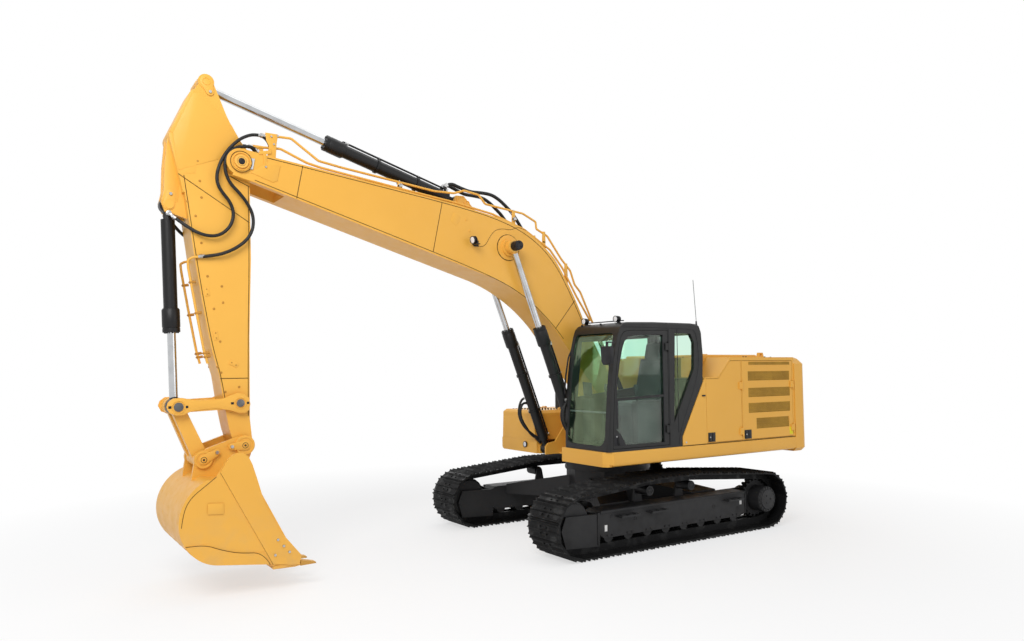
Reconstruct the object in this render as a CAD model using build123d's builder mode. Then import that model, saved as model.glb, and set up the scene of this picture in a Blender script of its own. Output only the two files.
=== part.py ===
from build123d import *
from math import cos, hypot, radians, sin
import os

# Crawler excavator, 30 tonne class, in millimetres.
# X runs forward, Y to the operator's left and Z up from the ground.
# Every size below is measured from the swing axis; keep() moves a finished piece to the part's
# own origin, under the middle of the whole machine.
os.makedirs("parts", exist_ok=True)

# Undercarriage
gauge = 2590
shoe_width = 655
shoe_count = 47
shoe_plate = 14
grouser = 26
link_height = 95
link_width = 46
link_spread = 82
wheel_x = 1790
wheel_z = 418
carrier_front_x = 470
carrier_rear_x = -330
carrier_rise = 110
carrier_radius = 70
corner_sag = 6
roller_radius = 82
roller_count = 8
roller_span = 2420
roller_half = 110
guard_gap = 6
guard_plate = 30
step_places = (930, 390, -1130)
step_length = 330
step_reach = 262
step_z = 455
step_plate = 24
frame_front_x = 1390
frame_rear_x = -1450
guard_bottom = 205
frame_top = 560
drive_radius = 190
drive_reach = 262
motor_radius = 150
motor_reach = 260
idler_hub = 60
rim_sides = 24
roller_sides = 12
axle_radius = 36
sprocket_teeth = 21
body_half_x = 560
body_half_y = 640
body_bottom = 430
body_top = 975
leg_rise = 340
bearing_radius = 650

# Upper structure
deck_bottom = 1106
deck_top = 1301
deck_plate = 25
upper_half = 1485
skirt = 90
skirt_roll = 48
skirt_corner = 110
tail_radius = 3255
tail_round = 150
tail_edge = 105
tail_drop = 36
platform_front_x = 1265
box_front_x = 976
box_rear_x = 300
box_top = 1755
box_lean = 18
box_crown = 46
box_inner_y = 557
girder_y = 325
girder_plate = 30
side_y = upper_half - 15
hood_top = 2556
lid_rise = 48
lift_hole = 26
lift_plate = 45
panel = 35
house_front_x = -612
door_seam_x = -1400
tail_seam_x = 615 - tail_radius
recess_z = 2262
recess_y = 1000
tank_top = 1752
panel_gap = 6
louvre_count = 4
rest_gap = 0.3
hinge_off = 16
hinge_pin = 7
hinge_knuckle = 12
hinge_height = 140
lug_height = 18
lid_knuckle = 80
pin_sides = 12
boss_sides = 16
hinge_heights = (1450, 2130)
cab_hinge_heights = (1560, 2700)

# Cab
cab_inner_y = 512
cab_outer_y = side_y
cab_wall = 55
cab_front_x = 1235
cab_rear_x = -575
cab_foot_rear_x = -125
cab_roof = 3040
hinge_x = 125
door_front_x = 1158
glass = 8
glass_depth = 24
cab_corner = 62
lamp_radius = 42
lamp_stand = 50
roof_lamp_x = 850
roof_lamp_z = 3079.8
waist_z = 1440
shoulder_z = 2200

# Digging arm, pins as (x, z) seen from the side
boom_foot = (165, 1950)
boom_cylinder_foot = (861, 1184)
boom_cylinder_head = (2015, 4101)
stick_cylinder_foot = (2675, 4718)
stick_pin = (5671, 4800)
stick_cylinder_head = (6043, 5695)
bucket_cylinder_foot = (6393, 4267)
idler_link_pin = (5632, 2051)
rod_link_pin = (6285, 2027)
power_link_pin = (6023, 1444)
bucket_pin = (5580, 1576)
bucket_tip = (4874, 245)

boom_half = 300
stick_half = 200
fork_gap = 12
nose_boss = 118
head_pad = 178
pin_radius = 52
small_pin = 45
boom_cylinder_y = 410
boom_tube_radius = 75
boom_tube_length = 1940
boom_rod_radius = 45
stick_tube_radius = 82
stick_tube_length = 1980
stick_rod_radius = 48
bucket_tube_radius = 75
bucket_tube_length = 1420
bucket_rod_radius = 46
gland_length = 270
neck_length = 175
gland_swell = 9
gland_collar = 46
eye_half = 52
eye_wall = 38
link_plate = 42
bucket_half = 660
bucket_shell = 24
bucket_side = 28
cutter = 13
wear_plate = 9
heel_centre = (5868, 838)
heel_radius = 472
tooth_count = 5
tooth_length = 185
tooth_width = 95

front_reach = bucket_cylinder_foot[0] + 105
swing_x = (tail_radius - front_reach) / 2


def side(y):
    """Plane across the machine at y, with sketch x forward and sketch y up."""
    return Plane(origin=(0, y, 0), x_dir=(1, 0, 0), z_dir=(0, -1, 0))


def outline(rows):
    """Closed face from a list of places; a pair of places is an arc's middle and its end."""
    with BuildSketch(Plane.XY, mode=Mode.PRIVATE) as face:
        with BuildLine():
            here = rows[0]
            for row in rows[1:] + rows[:1]:
                if isinstance(row[0], tuple):
                    ThreePointArc(here, row[0], row[1])
                    here = row[1]
                else:
                    Line(here, row)
                    here = row
        make_face()
    return face.sketch


def shrunk(face, gap):
    """The same face with its edge moved inward by a gap."""
    with BuildSketch(Plane.XY, mode=Mode.PRIVATE) as smaller:
        add(face)
        offset(amount=-gap, kind=Kind.INTERSECTION, mode=Mode.REPLACE)
    return smaller.sketch


def plate(shape, y, width, mode=Mode.ADD):
    """Plate across the machine from a finished side face, centred on y."""
    with BuildSketch(side(y)) as face:
        add(shape)
    extrude(face.sketch, amount=width / 2, both=True, mode=mode)


def slab(rows, y, width, mode=Mode.ADD):
    """Plate with the given side outline, centred on y."""
    plate(outline(rows), y, width, mode)


def rail(rows, x_span, mode=Mode.ADD):
    """Bar along the machine whose section is given as (y, z) places."""
    with BuildSketch(Plane(origin=(x_span[0], 0, 0), x_dir=(0, 1, 0), z_dir=(1, 0, 0))) as section:
        add(outline(rows))
    extrude(section.sketch, amount=x_span[1] - x_span[0], mode=mode)


def disc(centre, radius, y, width, sides=0):
    """Round boss or pin across the machine, centred on y; sides gives it that many flats."""
    with BuildSketch(side(y)) as face:
        with Locations(centre):
            if sides:
                RegularPolygon(radius, sides)
            else:
                Circle(radius)
    extrude(face.sketch, amount=width / 2, both=True)


def bore(centre, radius, y, width, sides=pin_sides):
    """Hole across the machine with flats that all keep the given distance from its axis."""
    with BuildSketch(side(y)) as face:
        with Locations(centre):
            RegularPolygon(radius, sides, major_radius=False, rotation=180 / sides)
    extrude(face.sketch, amount=width / 2, both=True, mode=Mode.SUBTRACT)


def block(x_span, y_span, z_span, mode=Mode.ADD):
    """Square block between the given limits."""
    x0, x1 = x_span
    y0, y1 = y_span
    z0, z1 = z_span
    with BuildSketch(Plane.XY.offset(z0)) as face:
        with Locations(((x0 + x1) / 2, (y0 + y1) / 2)):
            Rectangle(x1 - x0, y1 - y0)
    extrude(face.sketch, amount=z1 - z0, mode=mode)


def shaft(start, end, y, radius, sides=0, mode=Mode.ADD):
    """Round bar from one (x, z) place to another, at distance y across the machine."""
    run = (end[0] - start[0], end[1] - start[1])
    plane = Plane(origin=(start[0], y, start[1]), x_dir=(0, 1, 0), z_dir=(run[0], 0, run[1]))
    with BuildSketch(plane) as face:
        if sides:
            turn = 180 / sides if mode == Mode.SUBTRACT else 0
            RegularPolygon(radius, sides, major_radius=(mode == Mode.ADD), rotation=turn)
        else:
            Circle(radius)
    extrude(face.sketch, amount=hypot(*run), mode=mode)


def between(start, end, distance):
    """Place at a distance from start towards end."""
    share = distance / hypot(end[0] - start[0], end[1] - start[1])
    return (start[0] + (end[0] - start[0]) * share, start[1] + (end[1] - start[1]) * share)


def hinge_pins(x, face_y, outward, heights, height, radius, grow=0, mode=Mode.ADD):
    """Upright round bars on a door's hinge line, the lowest one truly round."""
    for z in heights:
        with BuildSketch(Plane.XY.offset(z - height / 2)) as bar:
            with Locations((x, face_y + outward * hinge_off)):
                if z == heights[0] and not grow:
                    Circle(radius)
                else:
                    RegularPolygon(radius + grow, 8, major_radius=not grow)
        extrude(bar.sketch, amount=height, mode=mode)


def fixed_hinge(x, face_y, outward, heights):
    """Two lugs and a pin on the fixed wall; the pin stands one hinge_off outside its face."""
    pin_y = face_y + outward * hinge_off
    for z in heights:
        for end in (z - hinge_height / 2, z + hinge_height / 2 - lug_height):
            block((x - 15, x - 3), sorted((face_y - outward * 2, pin_y)), (end, end + lug_height))
            block((x - 15, x + 4), sorted((face_y + outward * 4, pin_y + outward * 8)), (end, end + lug_height))
    hinge_pins(x, face_y, outward, heights, hinge_height, hinge_pin)


def moving_hinge(x, face_y, outward, heights):
    """Knuckle and leaf on the door, bored for the hinge pin."""
    knuckle_height = hinge_height - 2 * lug_height - 4
    low_y, high_y = sorted((face_y - outward * 2, face_y + outward * (hinge_off + 4)))
    for z in heights:
        block((x + hinge_knuckle - 3, x + 60), (low_y, high_y), (z - knuckle_height / 2, z + knuckle_height / 2))
        with BuildSketch(Plane.XY.offset(z - knuckle_height / 2)) as knuckle:
            with Locations((x, face_y + outward * hinge_off)):
                RegularPolygon(hinge_knuckle, 12)
        extrude(knuckle.sketch, amount=knuckle_height)
    hinge_pins(x, face_y, outward, heights, knuckle_height + 2, hinge_pin, rest_gap, Mode.SUBTRACT)


def lid_lugs(axis, base_z, places):
    """Pairs of lugs and their pins for a lid that lifts about a line across the machine."""
    for y in places:
        for across in (y - lid_knuckle / 2 - 9, y + lid_knuckle / 2 + 9):
            slab([(axis[0] - 12, base_z - 2), (axis[0] + 6, base_z - 2), (axis[0] + 6, axis[1] + 8),
                  (axis[0] - 12, axis[1] + 8)], across, 14)
        disc(axis, hinge_pin, y, lid_knuckle + 32, sides=0 if y == places[0] else 8)


def lid_knuckles(axis, reach, top_z, places):
    """Knuckles on a lid, each joined to it by a leaf that reaches forward."""
    for y in places:
        disc(axis, hinge_knuckle, y, lid_knuckle, sides=12)
        slab([(axis[0] + 6, axis[1] - 6), (reach, top_z - 2), (reach, top_z + 8), (axis[0] + 6, axis[1] + 10)],
             y, lid_knuckle)
        bore(axis, hinge_pin + rest_gap, y, lid_knuckle + 2, 8)


def keep(piece, name):
    """Move a finished piece to the part's origin, label it and write it."""
    placed = piece.part.moved(Location((swing_x, 0, 0)))
    placed.label = name
    export_step(placed, f"parts/{name}.step")


# Track: one fixed loop whose outline carries the shoes
shoe_inner = link_height / 2
shoe_outer = shoe_inner + shoe_plate
shoe_tip = shoe_outer + grouser
pin_line = wheel_z - shoe_tip
carrier_line = wheel_z + pin_line + carrier_rise

with BuildLine() as track_path:
    Line((carrier_front_x, carrier_line), (wheel_x, wheel_z + pin_line))
    ThreePointArc((wheel_x, wheel_z + pin_line), (wheel_x + pin_line, wheel_z), (wheel_x, wheel_z - pin_line))
    Line((wheel_x, wheel_z - pin_line), (-wheel_x, wheel_z - pin_line))
    ThreePointArc((-wheel_x, wheel_z - pin_line), (-wheel_x - pin_line, wheel_z), (-wheel_x, wheel_z + pin_line))
    Line((-wheel_x, wheel_z + pin_line), (carrier_rear_x, carrier_line))
    Line((carrier_rear_x, carrier_line), (carrier_front_x, carrier_line))
track_wire = track_path.wires()[0]
link_pitch = track_wire.length / shoe_count
wheel_seat = (pin_line - link_height / 2) * cos(link_pitch / 2 / pin_line) - rest_gap

# Columns: place along the shoe as a share of its pitch, height off the pin line
shoe_profile = [(0.02, shoe_outer), (0.10, shoe_tip), (0.20, shoe_outer), (0.44, shoe_outer),
                (0.50, shoe_tip), (0.56, shoe_outer), (0.80, shoe_outer), (0.89, shoe_tip),
                (0.97, shoe_outer)]


def loop_points(profile):
    """Closed outline round the track from the profile of one shoe."""
    points = []
    for shoe in range(shoe_count):
        for along, height in profile:
            share = (shoe + along) / shoe_count
            place = track_wire @ share
            heading = track_wire % share
            points.append((place.X - heading.Y * height, place.Y + heading.X * height))
    return points


def loop_ring(outer_profile, inner_profile, y, width):
    """Closed band round the track between two profiles, centred on y."""
    with BuildSketch(side(y)) as band:
        for profile, mode in ((outer_profile, Mode.ADD), (inner_profile, Mode.SUBTRACT)):
            with BuildLine():
                Polyline(*loop_points(profile), close=True)
            make_face(mode=mode)
    extrude(band.sketch, amount=width / 2, both=True)


for name, track_y in (("track_left", gauge / 2), ("track_right", -gauge / 2)):
    with BuildPart() as track:
        loop_ring(shoe_profile, [(0, shoe_inner)], track_y, shoe_width)
        for across in (link_spread, -link_spread):
            loop_ring([(0, shoe_inner)], [(0, -shoe_inner)], track_y + across, link_width)
    keep(track, name)

# Wheels inside the track: idler in front, sprocket behind, rollers between
guard_y = roller_half + guard_gap
outer_guard = guard_y + guard_plate / 2
roller_z = wheel_z - pin_line + shoe_inner + roller_radius + rest_gap
carrier_z = carrier_line - shoe_inner - carrier_radius - corner_sag
flange = 34
flange_half = link_spread - link_width / 2 - 8

for name, track_y, outward in (("left", gauge / 2, 1), ("right", -gauge / 2, -1)):
    with BuildPart() as idler:
        disc((wheel_x, wheel_z), wheel_seat, track_y, 2 * roller_half - 10, rim_sides)
        disc((wheel_x, wheel_z), wheel_seat + flange, track_y, 2 * flange_half, rim_sides)
        disc((wheel_x, wheel_z), idler_hub, track_y, 2 * (guard_y - rest_gap), pin_sides)
    keep(idler, f"idler_{name}")

    with BuildPart() as sprocket:
        with BuildSketch(side(track_y)) as teeth:
            with Locations((-wheel_x, wheel_z)):
                RegularPolygon(wheel_seat - 12, 2 * sprocket_teeth)
                with PolarLocations(wheel_seat - 12, sprocket_teeth):
                    Rectangle(2 * flange, 32)
        extrude(teeth.sketch, amount=flange_half, both=True)
        disc((-wheel_x, wheel_z), drive_radius, track_y + outward * drive_reach / 2, drive_reach, rim_sides)
        disc((-wheel_x, wheel_z), drive_radius - 45, track_y + outward * (drive_reach + 15), 30, boss_sides)
        disc((-wheel_x, wheel_z), motor_radius, track_y - outward * motor_reach / 2, motor_reach, pin_sides)
    keep(sprocket, f"sprocket_{name}")

    with BuildPart() as track_frame:
        beam_bottom = roller_z + roller_radius + 12
        slab([(frame_rear_x, beam_bottom), (frame_front_x, beam_bottom), (frame_front_x, frame_top - 40),
              (frame_front_x - 60, frame_top), (frame_rear_x, frame_top)],
             track_y, 2 * (guard_y + guard_plate))
        for across in (outer_guard, -outer_guard):
            slab([(frame_rear_x, guard_bottom + 30), (frame_rear_x + 120, guard_bottom),
                  (frame_front_x - 80, guard_bottom), (frame_front_x, guard_bottom + 60),
                  (frame_front_x, frame_top - 60), (frame_rear_x, frame_top - 60)],
                 track_y + across, guard_plate)
            slab([(frame_front_x - 10, 110), (wheel_x + 140, 140), (wheel_x + 210, 370), (wheel_x + 140, 540),
                  (frame_front_x - 10, 525)], track_y + across, guard_plate)
        slab([(-wheel_x - 170, wheel_z - 150), (frame_rear_x + 10, guard_bottom + 30),
              (frame_rear_x + 10, frame_top), (-wheel_x - 170, wheel_z + 150)],
             track_y - outward * outer_guard, guard_plate)
        bore((-wheel_x, wheel_z), motor_radius + rest_gap, track_y - outward * outer_guard, guard_plate + 1)
        for number in range(roller_count):
            roller_x = roller_span * (number / (roller_count - 1) - 0.5)
            disc((roller_x, roller_z), roller_radius, track_y, 2 * guard_y + 2, roller_sides)
        for carrier_x in (carrier_front_x, carrier_rear_x):
            slab([(carrier_x - 90, frame_top - 10), (carrier_x + 90, frame_top - 10),
                  (carrier_x + 45, carrier_z + 30), (carrier_x - 45, carrier_z + 30)],
                 track_y - outward * outer_guard, guard_plate)
            disc((carrier_x, carrier_z), carrier_radius, track_y, 2 * roller_half, roller_sides)
            disc((carrier_x, carrier_z), axle_radius - 8, track_y - outward * guard_plate / 2,
                 2 * guard_y + guard_plate - 10, 8)
        for step_x in step_places:
            block((step_x - step_length / 2, step_x + step_length / 2),
                  sorted((track_y + outward * (guard_y + guard_plate - 2), track_y + outward * step_reach)),
                  (step_z, step_z + step_plate))
    keep(track_frame, f"track_frame_{name}")

# Carbody: a drum on four legs that reach the track frames
leg_reach = gauge / 2 - guard_y - guard_plate - rest_gap
with BuildPart() as carbody:
    with BuildSketch(Plane.XY.offset(body_bottom)) as legs:
        for fore in (1, -1):
            for across in (1, -1):
                with BuildLine():
                    Polyline((0, 0), (fore * 150, across * 560), (fore * 620, across * leg_reach),
                             (fore * 1130, across * leg_reach), (fore * 560, across * 250), close=True)
                make_face()
        Rectangle(2 * body_half_x, 2 * body_half_y - 200)
    extrude(legs.sketch, amount=leg_rise)
    rail([(-leg_reach, body_bottom), (leg_reach, body_bottom), (leg_reach, body_bottom + 150),
          (300, body_bottom + leg_rise), (-300, body_bottom + leg_rise), (-leg_reach, body_bottom + 150)],
         (-1200, 1200), mode=Mode.INTERSECT)
    with BuildSketch(Plane.XY.offset(body_bottom)) as drum:
        RegularPolygon(body_half_y, 8)
    extrude(drum.sketch, amount=body_top - body_bottom - 90)
    with BuildSketch(Plane.XY.offset(body_top - 90)) as seat_ring:
        RegularPolygon(bearing_radius, boss_sides)
    extrude(seat_ring.sketch, amount=90)
keep(carbody, "carbody")

with BuildPart() as swing_bearing:
    with BuildSketch(Plane.XY.offset(body_top + rest_gap)) as lower_race:
        Circle(bearing_radius)
        RegularPolygon(bearing_radius - 110, boss_sides, mode=Mode.SUBTRACT)
    extrude(lower_race.sketch, amount=deck_bottom - body_top - 2 * rest_gap)
keep(swing_bearing, "swing_bearing")

# Revolving frame: deck plate, skirts, and the girders that hold boom and boom cylinders
cab_floor_z = deck_top + rest_gap
bay_x = boom_cylinder_foot[0] - 160
girder_top = deck_top - 20
bay_left_y = cab_inner_y - 10
bay_right_y = -box_inner_y + 40
skirt_section = [(upper_half - skirt, deck_bottom), (upper_half - skirt_roll, deck_bottom),
                 (upper_half - 14, deck_bottom + 14), (upper_half, deck_bottom + skirt_roll),
                 (upper_half, deck_top - 14), (upper_half - 14, deck_top), (upper_half - skirt, deck_top)]
with BuildPart() as revolving_frame:
    with BuildSketch(Plane.XY.offset(deck_bottom)) as deck:
        with BuildLine():
            Polyline((tail_seam_x, skirt_roll - upper_half), (box_front_x, skirt_roll - upper_half),
                     (box_front_x, bay_right_y), (bay_x, bay_right_y), (bay_x, bay_left_y),
                     (platform_front_x, bay_left_y), (platform_front_x, upper_half - skirt_corner),
                     (platform_front_x - skirt_corner + skirt_roll, upper_half - skirt_roll),
                     (tail_seam_x, upper_half - skirt_roll), close=True)
        make_face()
    extrude(deck.sketch, amount=deck_plate)
    for across, front in ((1, platform_front_x - skirt_corner), (-1, box_front_x)):
        rail([(across * y, z) for y, z in skirt_section], (tail_seam_x, front))
    block((platform_front_x - skirt, platform_front_x), (bay_left_y, upper_half - skirt_corner),
          (deck_bottom, deck_top))
    block((box_front_x - skirt, box_front_x), (-upper_half + skirt_roll, bay_right_y), (deck_bottom, deck_top))
    for across in (1, -1):
        slab([(tail_seam_x, deck_bottom), (boom_cylinder_foot[0] + 90, deck_bottom),
              (boom_cylinder_foot[0] + 90, boom_cylinder_foot[1] + 40),
              (boom_cylinder_foot[0] + 40, boom_cylinder_foot[1] + 90),
              (boom_cylinder_foot[0] - 90, boom_cylinder_foot[1] + 110), (boom_foot[0] + 300, 1680),
              (boom_foot[0] + 130, boom_foot[1] + 120), (boom_foot[0] - 130, boom_foot[1] + 120),
              (boom_foot[0] - 480, 1560), (boom_foot[0] - 800, girder_top), (tail_seam_x, girder_top)],
             across * girder_y, girder_plate)
        bore(boom_foot, pin_radius + rest_gap, across * girder_y, girder_plate + 1)
        slab([(bay_x - 60, deck_bottom), (boom_cylinder_foot[0] + 90, deck_bottom),
              (boom_cylinder_foot[0] + 90, boom_cylinder_foot[1] + 40),
              (boom_cylinder_foot[0] + 40, boom_cylinder_foot[1] + 90),
              (boom_cylinder_foot[0] - 60, boom_cylinder_foot[1] + 90), (bay_x - 60, deck_bottom + 120)],
             across * (boom_cylinder_y + eye_half + fork_gap + 13), 26)
        block((bay_x - 200, bay_x - 10), (min(across * girder_y, across * 520), max(across * girder_y, across * 520)),
              (deck_bottom, deck_bottom + 60))
        disc(boom_cylinder_foot, small_pin, across * (girder_y + 87), 174, pin_sides)
keep(revolving_frame, "revolving_frame")

# Counterweight: flat sides, a tail that follows the swing circle, rounded corners and edges
tail_corner_x = -(tail_radius ** 2 - upper_half ** 2) ** 0.5
with BuildPart() as counterweight:
    with BuildSketch(Plane.XY.offset(deck_bottom - tail_drop)) as tail:
        with BuildLine():
            Line((tail_seam_x - rest_gap, -upper_half), (tail_seam_x - rest_gap, upper_half))
            Line((tail_seam_x - rest_gap, upper_half), (tail_corner_x, upper_half))
            ThreePointArc((tail_corner_x, upper_half), (-tail_radius, 0), (tail_corner_x, -upper_half))
            Line((tail_corner_x, -upper_half), (tail_seam_x - rest_gap, -upper_half))
        make_face()
        fillet(tail.vertices().group_by(Axis.X)[0], tail_round)
    extrude(tail.sketch, amount=hood_top - deck_bottom + tail_drop)
    chamfer(counterweight.faces().sort_by(Axis.Z)[-1].edges().group_by(Axis.X)[:-1], tail_edge)
    chamfer(counterweight.faces().sort_by(Axis.Z)[-1].edges().group_by(Axis.X)[:-1], tail_edge / 3)
    chamfer(counterweight.faces().sort_by(Axis.Z)[0].edges().group_by(Axis.X)[:-1], tail_edge / 2)
    block((tail_seam_x - 120, tail_seam_x), (-girder_y - 60, girder_y + 60),
          (deck_bottom - tail_drop, deck_bottom), mode=Mode.SUBTRACT)
keep(counterweight, "counterweight")

with BuildPart() as lifting_lugs:
    for across in (1, -1):
        slab([(-2980, hood_top + rest_gap), (-2820, hood_top + rest_gap), (-2850, hood_top + 90),
              (-2950, hood_top + 90)], across * 620, lift_plate)
        with BuildSketch(side(across * 620)) as eye:
            with Locations((-2900, hood_top + 48)):
                Circle(lift_hole)
        extrude(eye.sketch, amount=lift_plate, both=True, mode=Mode.SUBTRACT)
keep(lifting_lugs, "lifting_lugs")

# Engine housing: hollow, open to the deck, with a lowered step at its left front corner
house_rear_x = tail_seam_x + rest_gap
full_outline = [(house_rear_x, cab_floor_z), (house_front_x, cab_floor_z), (house_front_x, hood_top),
                (house_rear_x, hood_top)]
low_outline = [(house_rear_x, cab_floor_z), (house_front_x, cab_floor_z), (house_front_x, recess_z),
               (house_front_x - 270, recess_z), (house_front_x - 555, hood_top), (house_rear_x, hood_top)]
full_cavity = [(house_rear_x + panel, deck_top - 1), (house_front_x - panel, deck_top - 1),
               (house_front_x - panel, hood_top - panel), (house_rear_x + panel, hood_top - panel)]
low_cavity = [(house_rear_x + panel, deck_top - 1), (house_front_x - panel, deck_top - 1),
              (house_front_x - panel, recess_z - panel), (house_front_x - 285, recess_z - panel),
              (house_front_x - 570, hood_top - panel), (house_rear_x + panel, hood_top - panel)]
low_middle = (recess_y + side_y) / 2
full_middle = (recess_y - side_y) / 2
door_bottom = deck_top + 14
front_opening = [(door_seam_x + panel_gap, door_bottom), (house_front_x - 14, door_bottom),
                 (house_front_x - 14, recess_z - 16), (house_front_x - 278, recess_z - 16),
                 (house_front_x - 540, hood_top - 50), (door_seam_x + panel_gap, hood_top - 50)]
rear_opening = [(tail_seam_x + panel + 5, door_bottom), (door_seam_x - panel_gap, door_bottom),
                (door_seam_x - panel_gap, hood_top - 50), (tail_seam_x + panel + 5, hood_top - 50)]
lid_x = (tail_seam_x + 160, door_seam_x + 185)
lid_axis = (lid_x[0] - 14, hood_top + 20)
lid_hinges = (-600, 600)
front_hinge_x = door_seam_x + panel_gap + panel_gap / 2
rear_hinge_x = tail_seam_x + panel + 5 + panel_gap / 2
lid_half = 880
with BuildPart() as engine_housing:
    slab(full_outline, full_middle, recess_y + side_y)
    slab(low_outline, low_middle, side_y - recess_y)
    slab(full_cavity, full_middle, recess_y + side_y - 2 * panel, mode=Mode.SUBTRACT)
    slab(low_cavity, low_middle - panel, side_y - recess_y, mode=Mode.SUBTRACT)
    slab(front_opening, side_y, 3 * panel, mode=Mode.SUBTRACT)
    slab(rear_opening, side_y, 3 * panel, mode=Mode.SUBTRACT)
    slab(rear_opening, -side_y, 3 * panel, mode=Mode.SUBTRACT)
    block((lid_x[0] + 60, lid_x[1] - 60), (-lid_half + 60, lid_half - 60), (hood_top - 2 * panel, hood_top + 5),
          mode=Mode.SUBTRACT)
    slab([(house_front_x - 5, cab_floor_z), (cab_foot_rear_x - 14, cab_floor_z),
          (cab_foot_rear_x - 14, waist_z - 4), (house_front_x + 43, shoulder_z - 4), (house_front_x - 5, recess_z)],
         side_y - panel / 2, panel)
    fixed_hinge(front_hinge_x, side_y, 1, hinge_heights)
    fixed_hinge(rear_hinge_x, side_y, 1, hinge_heights)
    fixed_hinge(rear_hinge_x, -side_y, -1, hinge_heights)
    lid_lugs(lid_axis, hood_top, lid_hinges)
keep(engine_housing, "engine_housing")


# Columns: lower edge, upper edge, front end and rear end of each band of louvres
louvre_bands = [(2200, 2340, -1545, -2530), (1950, 2090, -1550, -2535), (1712, 1862, -1548, -2530),
                (1470, 1630, -1720, -2500)]
louvre_depth = 14

# Columns: node, opening outline, hinge place, side of the machine, bands of louvres
for name, opening, place, outward, bands in (
        ("left_front_door", front_opening, front_hinge_x, 1, []),
        ("left_rear_door", rear_opening, rear_hinge_x, 1, louvre_bands),
        ("pump_door", rear_opening, rear_hinge_x, -1, louvre_bands[:1])):
    with BuildPart() as door:
        plate(shrunk(outline(opening), panel_gap), outward * (side_y - panel / 2), panel)
        for low, high, front, rear in bands:
            block((rear, front), sorted((outward * (side_y - louvre_depth), outward * (side_y + 1))), (low, high),
                  mode=Mode.SUBTRACT)
            blade = (high - low) / louvre_count
            for number in range(louvre_count):
                rise = low + blade * number
                rail([(outward * (side_y - louvre_depth - 2), rise + blade * 0.15),
                      (outward * (side_y - louvre_depth - 2), rise + blade * 0.75),
                      (outward * (side_y - 3), rise + blade * 0.30), (outward * (side_y - 3), rise + blade * 0.15)],
                     (rear - 1, front + 1))
        moving_hinge(place, outward * side_y, outward, hinge_heights)
    keep(door, name)

with BuildPart() as hood_lid:
    block(lid_x, (-lid_half, lid_half), (hood_top + rest_gap, hood_top + lid_rise))
    chamfer(hood_lid.faces().sort_by(Axis.Z)[-1].edges(), 14)
    lid_knuckles(lid_axis, lid_x[0] + 6, hood_top + 24, lid_hinges)
keep(hood_lid, "hood_lid")

with BuildPart() as engine_block:
    block((tail_seam_x + 290, door_seam_x + 150), (-450, 900), (girder_top + rest_gap, hood_top - 406))
keep(engine_block, "engine_block")

# Tanks and box on the right of the boom
box_axis = (box_rear_x - 12, tank_top + 20)
box_hinges = (-1250, -780)
with BuildPart() as fuel_tank:
    block((house_front_x + rest_gap, box_rear_x - rest_gap), (-side_y, -box_inner_y), (cab_floor_z, tank_top))
    chamfer(fuel_tank.edges().filter_by(Axis.X), 40)
    lid_lugs(box_axis, tank_top, box_hinges)
keep(fuel_tank, "fuel_tank")

with BuildPart() as filler_box:
    block((60, 450 - 200), (-1000, -620), (tank_top + rest_gap, 2000))
keep(filler_box, "filler_box")

box_lid_z = box_top - 90
with BuildPart() as storage_box:
    rail([(-side_y, cab_floor_z), (-box_inner_y, cab_floor_z), (-box_inner_y - box_lean, box_lid_z),
          (box_lean - side_y, box_lid_z)], (box_rear_x, box_front_x))
    block((box_rear_x + panel, box_front_x - panel), (-side_y + panel, -box_inner_y - panel),
          (cab_floor_z + panel, box_lid_z + 1), mode=Mode.SUBTRACT)
keep(storage_box, "storage_box")

with BuildPart() as storage_lid:
    rail([(box_lean - side_y, box_lid_z + rest_gap), (-box_inner_y - box_lean, box_lid_z + rest_gap),
          (-box_inner_y - box_lean - 4, box_top - box_crown), (-box_inner_y - box_lean - box_crown, box_top),
          (box_lean + box_crown - side_y, box_top), (box_lean + 4 - side_y, box_top - box_crown)],
         (box_rear_x, box_front_x))
    chamfer(storage_lid.faces().sort_by(Axis.Z)[-1].edges().sort_by(Axis.X)[-1], box_crown - 8)
    lid_knuckles(box_axis, box_rear_x + 50, box_top, box_hinges)
keep(storage_lid, "storage_lid")

# Cab: side outline with its leaning rear pillar, rounded corners, hollow, windows and doorway cut
cab_middle = (cab_inner_y + cab_outer_y) / 2
cab_width = cab_outer_y - cab_inner_y
cab_outline = outline([(cab_foot_rear_x, cab_floor_z), (cab_front_x, cab_floor_z), (cab_front_x - 30, 1700),
                       (cab_front_x - 58, 2080), (cab_front_x - 98, 2420), (cab_front_x - 145, 2680),
                       (cab_front_x - 190, 2860), (cab_front_x - 228, 2955), (cab_front_x - 285, 3006),
                       (cab_front_x - 365, 3028), (380, cab_roof), (-350, cab_roof), (-450, 3032),
                       (cab_rear_x + 70, 3000), (cab_rear_x + 30, 2910), (cab_rear_x, 2580),
                       (cab_rear_x + 20, shoulder_z), (cab_foot_rear_x, waist_z)])
door_outline = outline([(hinge_x, cab_floor_z + 35), (door_front_x, cab_floor_z + 35), (door_front_x - 14, 1700),
                        (door_front_x - 40, 2080), (door_front_x - 78, 2420), (door_front_x - 122, 2680),
                        (door_front_x - 160, 2820), (door_front_x - 210, 2890), (door_front_x - 290, 2918),
                        (hinge_x, 2935)])
upper_glass = outline([(215, 2040), (1080, 2010), (1058, 2250), (1020, 2470), (970, 2660), (930, 2760),
                       (860, 2826), (770, 2850), (215, 2865)])
lower_glass = outline([(215, 1385), (925, 1385), (1010, 1520), (1095, 1600), (1085, 1978), (215, 2008)])
quarter_glass = outline([(-17, 2890), (23, 1640), (-387, 2390), (-397, 2770), (-327, 2890)])
right_glass = outline([(-400, 2150), (1020, 2000), (930, 2780), (-400, 2860)])
screen_inner_y = cab_inner_y + 60
screen_outer_y = cab_outer_y - 90


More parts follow.
